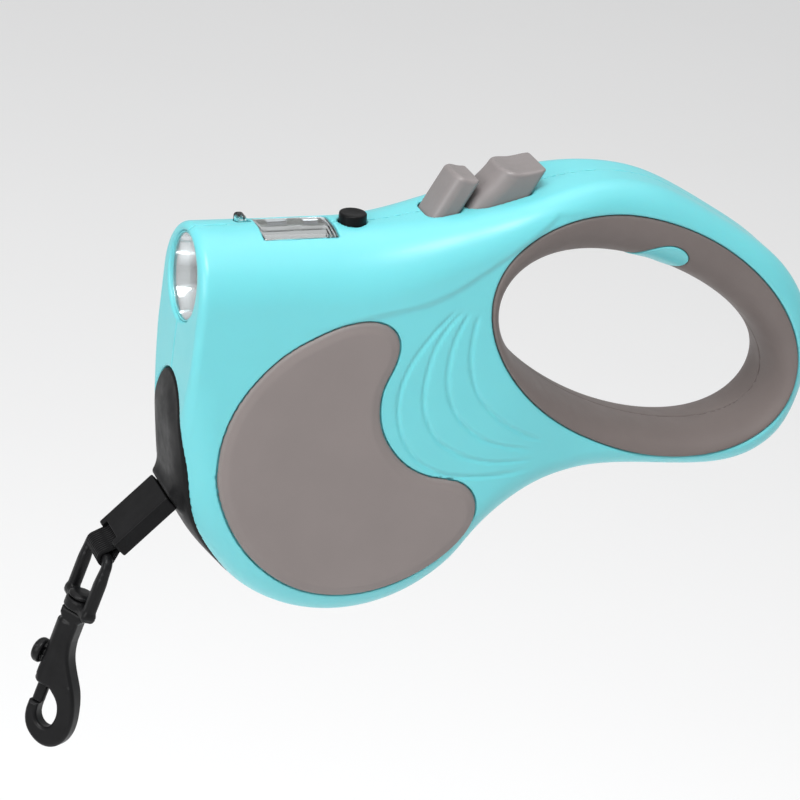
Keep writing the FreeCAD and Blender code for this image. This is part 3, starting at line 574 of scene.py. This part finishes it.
# ---------------------------------------------------------------- materials
class Finish:
    """A procedural material: one Principled surface with grain, mottling and worn edges."""

    def __init__(self, name, colour, roughness, **sockets):
        self.name = name
        self.material = bpy.data.materials.new("finish_" + name)
        self.material.use_nodes = True
        self.nodes, self.links = self.material.node_tree.nodes, self.material.node_tree.links
        self.nodes.clear()
        self.surface = self.add("ShaderNodeBsdfPrincipled")
        output = self.add("ShaderNodeOutputMaterial")
        self.links.new(self.surface.outputs[0], output.inputs["Surface"])
        self.surface.inputs["Base Color"].default_value = (*colour, 1)
        self.surface.inputs["Roughness"].default_value = roughness
        for socket, value in sockets.items():
            self.surface.inputs[socket.replace("_", " ")].default_value = value
        self.colour, self.roughness, self.height = colour, roughness, None
        self.space = self.add("ShaderNodeTexCoord").outputs["Object"]

    def add(self, kind, **settings):
        node = self.nodes.new(kind)
        for key, value in settings.items():
            setattr(node, key, value)
        return node

    def feed(self, node, socket, source):
        if isinstance(source, bpy.types.NodeSocket):
            self.links.new(source, node.inputs[socket])
        else:
            node.inputs[socket].default_value = source

    def maths(self, operation, a, b=0.0):
        node = self.add("ShaderNodeMath", operation=operation)
        self.feed(node, 0, a)
        self.feed(node, 1, b)
        return node.outputs[0]

    def noise(self, size_mm, detail=3.0, space=None):
        node = self.add("ShaderNodeTexNoise")
        self.feed(node, "Vector", space or self.space)
        self.feed(node, "Scale", 1 / (size_mm * MM))
        self.feed(node, "Detail", detail)
        return node.outputs["Fac"]

    def spread(self, source, low, high, to_low, to_high):
        node = self.add("ShaderNodeMapRange")
        for socket, value in zip(("Value", "From Min", "From Max", "To Min", "To Max"),
                                 (source, low, high, to_low, to_high)):
            self.feed(node, socket, value)
        return node.outputs["Result"]

    def turned(self, angle):
        """Object coordinates turned about Y, so that Z runs along a slanting piece."""
        node = self.add("ShaderNodeVectorRotate", rotation_type="Y_AXIS")
        self.feed(node, "Vector", self.space)
        self.feed(node, "Angle", angle)
        return node.outputs[0]

    def mottle(self, size_mm, amount):
        """Slow drift of the colour's brightness and of the gloss."""
        drift = self.noise(size_mm, 4.0)
        hue = self.add("ShaderNodeHueSaturation")
        self.feed(hue, "Color", (*self.colour, 1))
        self.feed(hue, "Value", self.spread(drift, 0.3, 0.7, 1 - amount, 1 + amount))
        self.feed(self.surface, "Base Color", hue.outputs[0])
        self.tint = hue
        smear = self.noise(size_mm * 0.35, 5.0)
        rough = self.spread(smear, 0.3, 0.7, self.roughness * 0.88, self.roughness * 1.14)
        self.feed(self.surface, "Roughness", rough)
        return self

    def worn(self, colour, amount):
        """Edges rubbed towards another colour."""
        edge = self.add("ShaderNodeNewGeometry").outputs["Pointiness"]
        scratch = self.maths("MULTIPLY", self.noise(1.1, 6.0), amount)
        share = self.maths("MULTIPLY", self.spread(edge, 0.52, 0.6, 0.0, 1.0), scratch)
        mix = self.add("ShaderNodeMix", data_type="RGBA")
        self.feed(mix, "Factor", share)
        source = self.surface.inputs["Base Color"]
        self.feed(mix, 6, source.links[0].from_socket if source.links else (*self.colour, 1))
        self.feed(mix, 7, (*colour, 1))
        self.feed(self.surface, "Base Color", mix.outputs[2])
        return self

    def bump(self, height, distance_mm, strength=1.0):
        node = self.add("ShaderNodeBump")
        self.feed(node, "Height", height)
        self.feed(node, "Distance", distance_mm * MM)
        self.feed(node, "Strength", strength)
        if self.height is not None:
            self.feed(node, "Normal", self.height)
        self.height = node.outputs[0]
        self.feed(self.surface, "Normal", self.height)
        return self

    def grain(self, size_mm, depth_mm, detail=3.0):
        return self.bump(self.noise(size_mm, detail), depth_mm)

    def weave(self, pitch_mm, depth_mm, angle):
        """Plain weave: yarns along and across a tape that slants by this angle."""
        parts = self.add("ShaderNodeSeparateXYZ")
        self.feed(parts, 0, self.turned(angle))
        turn = 2 * math.pi / (pitch_mm * MM)
        along = self.maths("SINE", self.maths("MULTIPLY", parts.outputs["Z"], turn * 0.5))
        across = self.maths("SINE", self.maths("MULTIPLY", parts.outputs["Y"], turn))
        knots = self.maths("MULTIPLY", along, across)
        ribs = self.maths("ABSOLUTE", self.maths(
            "SINE", self.maths("MULTIPLY", parts.outputs["Z"], turn * 0.5)))
        self.bump(self.maths("ADD", knots, ribs), depth_mm)
        return self


AQUA = (0.14, 0.56, 0.605)


def make_finishes():
    aqua = Finish("aqua_shell", AQUA, 0.36, Coat_Weight=0.1, Coat_Roughness=0.15,
                  Subsurface_Weight=0.06, Subsurface_Scale=0.002)
    aqua.mottle(38, 0.025).grain(0.55, 0.012).grain(6.0, 0.03, 1.0)
    panel = Finish("panel_grey", (0.212, 0.183, 0.176), 0.5, Specular_IOR_Level=0.4)
    panel.mottle(24, 0.035).grain(0.32, 0.018)
    grip = Finish("grip_grey", (0.150, 0.125, 0.118), 0.62, Sheen_Weight=0.08, Sheen_Roughness=0.5,
                  Specular_IOR_Level=0.35)
    grip.mottle(20, 0.05).grain(0.35, 0.03).grain(3.0, 0.05, 2.0)
    trigger = Finish("trigger_grey", (0.21, 0.19, 0.188), 0.42, Coat_Weight=0.06)
    trigger.mottle(9, 0.04).grain(0.3, 0.015)
    black = Finish("black_plastic", (0.0045, 0.0045, 0.005), 0.42, Specular_IOR_Level=0.14)
    black.mottle(9, 0.2).worn((0.09, 0.09, 0.09), 0.25).grain(0.35, 0.012)
    coated = Finish("black_metal", (0.0055, 0.0055, 0.006), 0.36, Specular_IOR_Level=0.2)
    coated.mottle(6, 0.25).worn((0.10, 0.10, 0.105), 0.3).grain(0.7, 0.015).grain(0.2, 0.008)
    webbing = Finish("webbing", (0.004, 0.004, 0.0045), 0.8, Sheen_Weight=0.03, Sheen_Roughness=0.4,
                     Specular_IOR_Level=0.12)
    webbing.mottle(2, 0.3).weave(1.1, 0.12, TAPE_ANGLE).grain(0.12, 0.03)
    steel = Finish("steel", (0.56, 0.565, 0.58), 0.3, Metallic=1.0)
    steel.mottle(4, 0.08).grain(0.2, 0.006)
    spring = Finish("spring_steel", (0.30, 0.31, 0.34), 0.28, Metallic=1.0)
    spring.mottle(3, 0.15).grain(0.15, 0.004)
    white = Finish("white_plastic", (0.78, 0.78, 0.755), 0.42, Subsurface_Weight=0.05)
    white.mottle(15, 0.03).grain(0.4, 0.012)
    silver = Finish("silver_bowl", (0.86, 0.86, 0.875), 0.09, Metallic=1.0)
    silver.mottle(10, 0.03).grain(2.2, 0.02, 2.0)
    clear = Finish("clear", (0.93, 0.97, 0.975), 0.035, Transmission_Weight=1.0, IOR=1.46)
    clear.grain(5.0, 0.01, 1.0)
    resin = Finish("led_clear", (0.93, 0.94, 0.86), 0.08, Transmission_Weight=0.75, IOR=1.5)
    resin.grain(2.0, 0.01, 1.0)
    board = Finish("board_green", (0.03, 0.17, 0.075), 0.38, Coat_Weight=0.3)
    board.mottle(3, 0.12).grain(0.5, 0.01)
    cell = Finish("cell_steel", (0.63, 0.62, 0.6), 0.22, Metallic=1.0)
    cell.mottle(5, 0.06).grain(0.25, 0.005)
    made = [aqua, panel, grip, trigger, black, coated, webbing, steel, spring, white, silver,
            clear, resin, board, cell]
    return {finish.name: finish.material for finish in made}


FINISH = make_finishes()


def dress_frame():
    """Every CAD node takes the finish of its material slot."""
    for part in frame["record"]["subparts"]:
        mesh = frame["nodes"][part["node"]].data
        mesh.materials.clear()
        mesh.materials.append(FINISH[part["material_slot"]])


dress_frame()


# ---------------------------------------------------------------- the pieces
def shells():
    for side, name in ((-1, "left_shell"), (1, "right_shell")):
        low, high = (-53, 0, -47), (144, 21, 89)
        if side < 0:
            low, high = (-53, -21, -47), (144, 0, 89)

        def unseen(x, y, z):
            return casing_solid(x, y, z)[0] < -1.7
        moulded("casing_" + name[:-6], shell_field(side), low, high, 0.62, FINISH["aqua_shell"],
                "casing", [name], coarse=unseen)



def grips():
    """The soft grip round the loop: a crowned skin over the casing's core, with a drop inlaid."""
    def loop(x, z):
        return np.moveaxis(SIDE.look_up(CASING[..., 1:4], x, z), -1, 0)

    for side, name in ((-1, "left"), (1, "right")):
        def grip(x, y, z, side=side):
            rim, hole, half = loop(x, z)
            solid = meet(crown(y, rim, hole, half), rim + 0.12, 0.6)
            solid = np.maximum(solid, 0.05 - crown(y, rim, hole, half, GRIP_SKIN))
            solid = cut(solid, SIDE.look_up(DROP, x, z) - 0.12, 0.25)
            return meet(solid, 0.03 - y * side, 0.35)

        def inlay(x, y, z, side=side):
            rim, hole, half = loop(x, z)
            solid = meet(crown(y, rim, hole, half) - 0.12, SIDE.look_up(DROP, x, z), 0.4)
            solid = np.maximum(solid, 0.1 - crown(y, rim, hole, half, GRIP_SKIN))
            return np.maximum(solid, 1.0 - y * side)

        def covered(x, y, z):
            return crown(y, *loop(x, z)) < -1.0
        across = (-19.5, 0) if side < 0 else (0, 19.5)
        moulded("grip_" + name, grip, (34, across[0], 1), (140, across[1], 81), 0.7,
                FINISH["grip_grey"], "casing", [name + "_grip"], coarse=covered)
        across = (-15, -1) if side < 0 else (1, 15)
        moulded("grip_inlay_" + name, inlay, (77, across[0], 59), (98, across[1], 71), 0.4,
                FINISH["aqua_shell"], "casing", [name + "_grip_inlay"])


def side_panels():
    """Soft-touch plates let into the casing's sides, with a rounded, slightly dropped edge."""
    for side, name in ((-1, "left"), (1, "right")):
        def field(x, y, z, side=side):
            edge = SIDE.look_up(PANEL, x, z)
            face = y * side - PANEL_FACE + 0.55 * ramp(edge, -3.4, -0.6)
            return np.maximum(meet(edge, face, 1.25), PANEL_FACE - 2.1 - y * side)

        def under(x, y, z):
            return np.abs(y) < PANEL_FACE - 1.6
        across = (-20, -17.5) if side < 0 else (17.5, 20)
        moulded("panel_" + name, field, (-44, across[0], -39), (40, across[1], 50), 0.62,
                FINISH["panel_grey"], "casing", [name + "_side_panel"], coarse=under)


PAY_OUT = np.array([-math.cos(TAPE_ANGLE), 0, -math.sin(TAPE_ANGLE)])
TANGENT = np.array([PAY_OUT[2], 0, -PAY_OUT[0]]) * LEAD_OFFSET
TAPE = Place(TANGENT, (0, 1, 0), -PAY_OUT)        # X across the tape, Y through it, Z back up it
SLEEVE_TOP = -(MOUTH + 0.4)
RING_DEPTH = SLEEVE_TOP - SLEEVE_LENGTH - 4.3
HANG = np.array([-0.248, 0, -0.969]) / math.hypot(0.248, 0.969)
RING_CENTRE = TAPE.out((0, 0, RING_DEPTH))
RING = Place(RING_CENTRE, np.cross((0, 1, 0), -HANG), -HANG)
SNAP = Place(RING_CENTRE + HANG * (RING_DROP + 1.6 + GAP),
             (-math.cos(SNAP_TURN), math.sin(SNAP_TURN), 0), -HANG)
TRIGGER = Place((0, 0, 0), (math.sin(PRESS), 0, -math.cos(PRESS)),
                (math.cos(PRESS), 0, math.sin(PRESS)))
LAMP = Place((TOP_FRONT[0], 0, TOP_FRONT[1]), (math.cos(LAMP_SLOPE), 0, math.sin(LAMP_SLOPE)),
             (-math.sin(LAMP_SLOPE), 0, math.cos(LAMP_SLOPE)))


def outlet_guide():
    """The black shield in the nose, with a collar round the tape's slot."""
    def field(x, y, z):
        outer = casing_solid(x, y, z)[0]
        shield = NOSE.look_up(SHIELD, y, z)
        proud = 0.1 + 0.8 * ramp(-shield, 0, 9)
        solid = meet(outer - proud, shield + 0.22, 0.9)
        solid = np.maximum.reduce([solid, -(outer + WALL), x + 24.7])
        a, b, c = TAPE.into(x, y, z)
        solid = join(solid, brick(a, b, c, (-9.3, 9.3), (-3.3, 3.3), (-MOUTH, -35.2), 1.3), 2.6)
        solid = cut(solid, brick(a, b, c, (-8.8, 8.8), (-3.4, 3.4), (-60, -MOUTH), 1.0), 0.3)
        return cut(solid, brick(a, b, c, (-7.4, 7.4), (-1.3, 1.3), (-60, -20), 0.6), 0.5)
    moulded("outlet_guide", field, (-60, -17, -48), (-22, 17, 28), 0.5, FINISH["black_plastic"],
            "casing", ["tape_outlet_guide"])


def triggers():
    def brake(n, y, w):
        lean = 2.2 * ramp(w, 84, 96)
        plan = trigger_plan(n - lean, y, BRAKE_N[0], BRAKE_N[1] - lean, BRAKE_HALF, 5.2)
        rise = 95.6 + 8.0 * (n - BRAKE_N[0]) / 14.1 - 1.3 * np.exp(-((n + 1.6) / 4.4) ** 2)
        solid = np.maximum(meet(plan, (w - rise) * 0.87, 1.0), 70 - w)
        for part in (((-9.4, 6.2), (-8.8, 8.8), (70, 78.4)), ((-1.4, 4.7), (-10, 4), (64, 71)),
                     ((-1.3, 1.3), (-10, -7.4), (39.8, 65))):
            solid = np.minimum(solid, brick(n, y, w, *part, 0.4))
        return cut(solid, rod(n + 4.6, y, 3.6, w, (60, 73.5)), 0.1)

    def lock(n, y, w):
        plan = trigger_plan(n, y, *LOCK_N, LOCK_HALF, 3.2)
        rise = 88.9 + 2.4 * (n - LOCK_N[0]) / 7.2 - 0.4 * np.exp(-((n + 14.0) / 2.4) ** 2)
        solid = np.maximum(meet(plan, (w - rise) * 0.95, 1.3), 62 - w)
        solid = np.minimum(solid, brick(n, y, w, (-19.2, -11), (-7.7, 7.7), (62, 70.4), 0.4))
        return cut(solid, rod(n + 14.6, y, 2.6, w, (57, 66)), 0.1)
    moulded("trigger_brake", brake, (-10, -10.2, 39.5), (6.5, 9, 104), 0.42,
            FINISH["trigger_grey"], "brake", ["brake_trigger"], TRIGGER)
    moulded("trigger_lock", lock, (-19.5, -8, 61.5), (-10.8, 8, 92), 0.42,
            FINISH["trigger_grey"], "lock", ["lock_trigger"], TRIGGER)


def tape_end():
    """The tape, its sleeve and the loop of webbing that holds the ring."""
    def lead(a, b, c):
        return brick(a, b, c, (-TAPE_WIDTH / 2, TAPE_WIDTH / 2), (-0.4, 0.4),
                     (SLEEVE_TOP - 7.0, 0), 0.3)

    def sleeve(a, b, c):
        low = SLEEVE_TOP - SLEEVE_LENGTH
        wide, thick = SLEEVE_HALF
        solid = brick(a, b, c, (-wide, wide), (-thick, thick), (low, SLEEVE_TOP), 0.55)
        solid = cut(solid, brick(a, b, c, (-6.6, 6.6), (-0.5, 0.5), (SLEEVE_TOP - 7, 0)), 0.2)
        solid = cut(solid, brick(a, b, c, (-6.6, 6.6), (-1.1, 1.1), (low - 9, low + 6)), 0.2)
        return cut(solid, brick(a, b, c, (-5.4, 5.4), (-9, 9), (low - 9, low + 2.0), 0.8), 0.4)

    turns = np.radians(np.linspace(157, 383, 22))
    bend = [(2.2 * math.cos(t), 2.2 * math.sin(t)) for t in turns]
    path = np.array([(-0.55, 10.0), (-0.55, 5.0)] + bend + [(0.55, 5.0), (0.55, 10.0)])

    def loop(a, b, c):
        best = np.full(np.shape(a), 1e3)
        for (b0, c0), (b1, c1) in zip(path, path[1:]):
            db, dc = b1 - b0, c1 - c0
            t = np.clip(((b - b0) * db + (c - c0) * dc) / (db * db + dc * dc), 0, 1)
            best = np.minimum(best, np.hypot(b - b0 - t * db, c - c0 - t * dc))
        return meet(best - 0.5, np.abs(a) - TAPE_WIDTH / 2, 0.35)
    moulded("tape_lead", lead, (-6.6, -0.5, SLEEVE_TOP - 7.1), (6.6, 0.5, 0.1), 0.35,
            FINISH["webbing"], "tape", ["tape_lead"], TAPE)
    moulded("tape_sleeve", sleeve, (-8.1, -2.7, SLEEVE_TOP - 20.7), (8.1, 2.7, SLEEVE_TOP + 0.1),
            0.3, FINISH["black_plastic"], "tape", ["tape_end_sleeve"], TAPE)
    moulded("tape_loop", loop, (-6.6, -2.8, -2.8), (6.6, 2.8, 10.2), 0.28, FINISH["webbing"],
            "tape", ["tape_loop"], Place(RING_CENTRE, (0, 1, 0), -PAY_OUT))


def ring():
    """A flat-sided cast ring, its cross bar swelling round the swivel's stud."""
    def field(x, y, z):
        side, rise, corner = np.abs(y) - 8.7, np.abs(z + 13) - 13, 2.4
        bow = meet(side, rise, corner)
        thick = 1.5 + 0.35 * ramp(-z, 2, 8)
        bow = ((np.abs(bow) / thick) ** 2.6 + (np.abs(x) / thick) ** 2.6) ** (1 / 2.6)
        bow = bow * thick - thick
        bow = np.maximum(bow, -z - RING_DROP)
        bar = brick(x, y, z, (-2.1, 2.1), (-10.5, 10.5), (-19.6, -16.4), 1.2)
        boss = meet(rod(x, y, 4.5), slab(z, -19.6, -16.4), 0.7)
        solid = join(join(bow, bar, 0.8), boss, 0.8)
        return cut(solid, rod(x, y, 2.3), 0.25)
    moulded("ring", field, (-4.7, -10.8, -19.8), (4.7, 10.8, 1.7), 0.3, FINISH["black_metal"],
            "ring", ["swivel_ring"], RING)


SNAP_OUTSIDE = [(3.2, -31.3), (3.1, -35.2), (1.4, -39.2), (-1.8, -41.6), (-5.8, -42.4),
                (-9.4, -41.0), (-11.7, -37.8), (-12.4, -33.5), (-11.7, -28.8), (-9.3, -22.9),
                (-6.1, -18.1), (-3.7, -13.5), (-2.9, -9.5)]
SNAP_CORNERS = [(-2.9, -3.6), (-3.9, -2.2), (-3.9, 0), (3.9, 0), (3.9, -2.2), (2.9, -3.6),
                (2.9, -13), (3.9, -20.6), (3.9, -22.6), (2.6, -25)]
SNAP_EYE = [(-1.4, -25.3), (-4.9, -28), (-6.4, -31.2), (-6.3, -34.6), (-5.2, -36.5),
            (-3, -36.8), (-0.7, -35), (-0.1, -31.3)]


def snap_hook():
    chart = Chart((-15, -45), (7, 3), 0.2)
    line = np.vstack([smooth_line(SNAP_OUTSIDE, spacing=0.6), SNAP_CORNERS,
                      smooth_line(SNAP_EYE, spacing=0.6)])
    outline = chart.signed(line)

    def body(x, y, z):
        flat = meet(chart.look_up(outline, x, z), np.abs(y) - 3.0 + 0.5 * ramp(z, -22, -30), 1.15)
        barrel = meet(rod(x - BOLT_X, y, 3.3), slab(z, -25, -4), 0.8)
        solid = join(flat, barrel, 0.7)
        solid = cut(solid, rod(x - BOLT_X, y, 1.9, z, (-28, -6)), 0.15)
        solid = cut(solid, brick(x, y, z, (BOLT_X, 9), (-1.35, 1.35), (-18.3, -9.1), 0.4), 0.35)
        return cut(solid, rod(x, y, 2.2, z, (-2, 1)), 0.1)

    def bolt(x, y, z):
        solid = meet(rod(x - BOLT_X, y, 1.85), slab(z, -31, -14.2), 0.35)
        stem = rod(y, z + 16.9, 1.1, x, (BOLT_X, 6.6))
        dome = 8.4 - 0.09 * (y ** 2 + (z + 16.9) ** 2)
        knob = meet(rod(y, z + 16.9, 3.8), np.maximum(4.8 - x, x - dome), 0.8)
        return join(join(solid, stem, 0.3), knob, 0.4)
    moulded("snap_body", body, (-12.7, -3.5, -42.7), (4.8, 3.5, 0.2), 0.27,
            FINISH["black_metal"], "hook", ["snap_body"], SNAP)
    moulded("snap_bolt", bolt, (-0.9, -4, -31.2), (8.6, 4, -13), 0.24, FINISH["black_metal"],
            "bolt", ["snap_bolt"], SNAP)


def soften(profile, radius):
    """A closed outline with each corner rounded off."""
    made = []
    for before, here, after in zip(profile[-1:] + profile[:-1], profile, profile[1:] + profile[:1]):
        here = np.array(here, float)
        to_before, to_after = np.array(before) - here, np.array(after) - here
        if min(abs(here[0]), 1) < 1e-6:
            made.append(here)
            continue
        ends = [here + v * min(0.5, radius / np.linalg.norm(v)) for v in (to_before, to_after)]
        for t in (0, 0.25, 0.5, 0.75, 1):
            made.append(ends[0] * (1 - t) ** 2 + here * 2 * t * (1 - t) + ends[1] * t * t)
    return np.array(made)


def turned(name, profile, place, material, body, nodes, segments=96, radius=0.3):
    """A piece of revolution about its frame's Z axis, from a closed outline of (radius, z)."""
    outline = soften(list(profile), radius) if radius else np.array(profile, float)
    count = len(outline)
    angle = np.linspace(0, 2 * math.pi, segments, endpoint=False)
    radius_at, height_at = outline[:, 0], np.tile(outline[:, 1], (segments, 1))
    points = np.stack([np.outer(np.cos(angle), radius_at), np.outer(np.sin(angle), radius_at),
                       height_at], -1).reshape(-1, 3)
    ring_at, step = np.meshgrid(np.arange(segments), np.arange(count), indexing="ij")
    a = (ring_at * count + step).ravel()
    b = (ring_at * count + (step + 1) % count).ravel()
    c = ((ring_at + 1) % segments * count + (step + 1) % count).ravel()
    d = ((ring_at + 1) % segments * count + step).ravel()
    quads = np.stack([a, d, c, b], -1)
    _, first = np.unique(np.round(points, 6), axis=0, return_index=True)
    _, group = np.unique(np.round(points, 6), axis=0, return_inverse=True)
    points, quads = points[first], group.ravel()[quads]
    collapsed_sides = (quads == np.roll(quads, -1, axis=1)).sum(1)
    faces = tidy_faces(quads[collapsed_sides < 2])
    made = piece(name, points, faces, material, body, nodes, place)
    made.data.set_sharp_from_angle(angle=math.radians(40))
    return made


def torch():
    place = Place((0, 0, TORCH_Z), (0, 1, 0), (1, 0, 0))
    turned("torch_bezel", [(12.35, -52.3), (12.75, -52.3), (12.75, -46.6), (12.35, -46.6)], place,
           FINISH["aqua_shell"], "casing", ["torch_bezel"], radius=0.15)
    depth, mouth, throat, wall = 15.5, 12.2, 2.9, 0.9
    along = np.linspace(0, 1, 25)
    bowl = np.sqrt(throat ** 2 + (mouth ** 2 - throat ** 2) * (1 - along))
    inside = [(r, -51.3 + depth * t) for r, t in zip(bowl, along)]
    outside = [(min(r + wall, mouth + 0.1), x) for r, x in reversed(inside)]
    turned("torch_reflector", inside + outside, place, FINISH["silver_bowl"], "casing",
           ["torch_reflector"], radius=0)
    dome = [(12.3 * t, -52.2 + 0.4 * t * t) for t in np.linspace(0, 1, 9)]
    turned("torch_lens", dome + [(12.3, -51.4), (0, -51.4)], place, FINISH["clear"], "casing",
           ["torch_lens"], radius=0)
    bulb = [(2.5 * math.sin(t), -39 - 2.5 * math.cos(t)) for t in np.linspace(0, math.pi / 2, 9)]
    turned("torch_led", bulb + [(2.5, -34.6), (0, -34.6)], place, FINISH["led_clear"], "casing",
           ["torch_led"], segments=40, radius=0)


def top_controls():
    """The lamp's clear cover, its catch, and the switch."""
    def window(x, y, z):
        u, w = lamp_place(x, z)
        block = brick(u, y, w, (LAMP_X[0] + 0.15, LAMP_X[1] - 0.15),
                      (-LAMP_SIDE + 0.15, LAMP_SIDE - 0.15), (67, 80), 0.7)
        return meet(block, casing_solid(x, y, z)[0] + 0.3, 0.7)

    def catch(x, y, z):
        u, w = lamp_place(x, z)
        nub = brick(u, y, w, (-38.3, -35.3), (CATCH_Y - 2.3, CATCH_Y + 2.3), (65, 71.9), 1.1)
        foot = brick(u, y, w, (-40.4, -35.0), (CATCH_Y - 3.6, CATCH_Y + 3.6), (64.2, 66.4), 0.3)
        return np.minimum(nub, foot)
    moulded("lamp_cover", window, (-33.3, -8.2, 66), (-10, 8.2, 73), 0.35, FINISH["clear"],
            "casing", ["lamp_window"])
    moulded("lamp_catch", catch, (-41, 0, 64), (-34, 8, 73), 0.3, FINISH["clear"], "catch",
            ["lamp_catch"])
    place = Place(LAMP.out((SWITCH_X - TOP_FRONT[0], 0, 0)), LAMP.turn[:, 0], LAMP.turn[:, 2])
    cap = [(0, 2.15), (1.4, 2.2), (2.6, 2.36), (4.0, 2.4), (4.0, -3.0), (4.9, -3.0), (4.9, -4.2),
           (0, -4.2)]
    turned("switch_button", cap, place, FINISH["black_plastic"], "switch", ["switch_button"],
           segments=72, radius=0.6)


def helix(name, coil, wire, low, high, turns, body, node, place):
    """A coil spring along its frame's Z, of even pitch from its low end to its high end."""
    steps, around = int(turns * 20), 8
    angle = np.linspace(0, 2 * math.pi * turns, steps + 1)[:, None]
    rise = np.linspace(low + wire, high - wire, steps + 1)[:, None]
    ring_angle = np.linspace(0, 2 * math.pi, around, endpoint=False)[None]
    out = coil + wire * np.cos(ring_angle)
    points = np.stack([out * np.cos(angle), out * np.sin(angle),
                       rise + wire * np.sin(ring_angle)], -1).reshape(-1, 3)
    at, k = np.meshgrid(np.arange(steps), np.arange(around), indexing="ij")
    a, b = at * around + k, at * around + (k + 1) % around
    quads = np.stack([a, a + around, b + around, b], -1).reshape(-1, 4)
    ends = [np.arange(around)[None], np.arange(around)[None, ::-1] + steps * around]
    made = piece(name, points, [quads] + ends, FINISH["spring_steel"], body, [node],
                 place)
    anchor = place.out((0, 0, low)) * MM + REEL
    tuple(place.turn[:, 2])
    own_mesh(made)


def springs():
    for name, across, coil, wire, top, turns, press in (
            ("brake", -4.6, 2.75, 0.42, 73.3, 9, 4.8), ("lock", -14.6, 1.9, 0.36, 65.8, 8, 4.5)):
        place = Place(TRIGGER.out((across, 0, 0)), TRIGGER.turn[:, 0], TRIGGER.turn[:, 2])
        helix(name + "_spring_coil", coil, wire, 51.1, top, turns,
              "casing", name + "_spring", place)
    place = Place(SNAP.out((BOLT_X, 0, -6.3)), SNAP.turn[:, 0], -SNAP.turn[:, 2])
    helix("snap_spring_coil", 1.35, 0.22, 0, 7.6, 4, "hook",
          "snap_spring", place)


def small_turned():
    stud = [(0, -2), (2.2, -2), (2.2, 4.1), (4.2, 4.1), (4.1, 4.9), (3.0, 5.6), (1.4, 5.8), (0, 5.8)]
    turned("swivel_stud", stud, SNAP, FINISH["black_metal"], "hook", ["swivel_stud"],
           segments=64, radius=0.35)
    ridges = 20
    radii = np.linspace(10.1, 27.7, ridges * 2 + 1)
    wave = [6.5 if k % 2 else 6.32 for k in range(len(radii))]
    side = list(zip(radii, wave))
    turned("tape_pack", side + [(r, -y) for r, y in reversed(side)],
           Place((0, 0, 0), (1, 0, 0), (0, 1, 0)), FINISH["webbing"], "reel", ["tape_pack"],
           radius=0)


for build in (shells, grips, side_panels, outlet_guide, triggers, tape_end, ring, snap_hook, torch,
              top_controls, springs, small_turned):
    build()

# ---------------------------------------------------------------- floor, light and camera
def studio():
    low = cad_box[0]
    bpy.ops.mesh.primitive_plane_add(size=8, location=(0, 0, low.z - 0.3))
    floor = bpy.context.object
    floor.name = "floor"
    pale = Finish("floor_pale", (0.97, 0.972, 0.975), 0.9, Specular_IOR_Level=0.1)
    pale.mottle(400, 0.005)
    floor.data.materials.append(pale.material)
    world = bpy.data.worlds.new("studio")
    bpy.context.scene.world = world
    world.use_nodes = True
    world.node_tree.nodes["Background"].inputs[0].default_value = (1.0, 1.0, 1.0, 1)
    world.node_tree.nodes["Background"].inputs[1].default_value = 0.5

    def softbox(name, at, size, power, aim=(0, 0, 0)):
        data = bpy.data.lights.new(name, "AREA")
        data.shape, data.size, data.energy = "SQUARE", size, power
        light = bpy.data.objects.new(name, data)
        light.location = at
        light.rotation_euler = (Vector(aim) - Vector(at)).to_track_quat("-Z", "Y").to_euler()
        bpy.context.scene.collection.objects.link(light)
    softbox("key", (-0.35, -0.45, 0.95), 0.45, 8)
    softbox("front", (-0.9, -0.45, 0.25), 0.5, 3.5)
    softbox("top", (0.15, 0.2, 1.0), 0.6, 1.5)
    softbox("ceiling", (0, 0, 2.2), 4.0, 24)


CAMERA_AZIMUTH, CAMERA_ELEVATION, CAMERA_ROLL = -23.0, 23.0, 8.5
CAMERA_DISTANCE, CAMERA_LENS = 1000.0, 154.35
AIM_RIGHT, AIM_UP = 18.95, 14.58    # the view's centre against the reel's centre


def camera():
    a, e = math.radians(CAMERA_AZIMUTH), math.radians(CAMERA_ELEVATION)
    back = Vector((math.sin(a) * math.cos(e), -math.cos(a) * math.cos(e), math.sin(e)))
    level = Vector((math.cos(a), math.sin(a), 0))
    up = back.cross(level)
    roll = math.radians(CAMERA_ROLL)
    right = level * math.cos(roll) + up * math.sin(roll)
    up = up * math.cos(roll) - level * math.sin(roll)
    at = Vector(REEL) + (back * CAMERA_DISTANCE + right * AIM_RIGHT + up * AIM_UP) * MM
    data = bpy.data.cameras.new("camera")
    data.lens, data.sensor_width = CAMERA_LENS, 36
    made = bpy.data.objects.new("camera", data)
    turn = Matrix((right, up, back)).transposed()
    made.matrix_world = Matrix.Translation(at) @ turn.to_4x4()
    bpy.context.scene.collection.objects.link(made)
    bpy.context.scene.camera = made
    bpy.context.scene.view_settings.view_transform = "Standard"


studio()
camera()
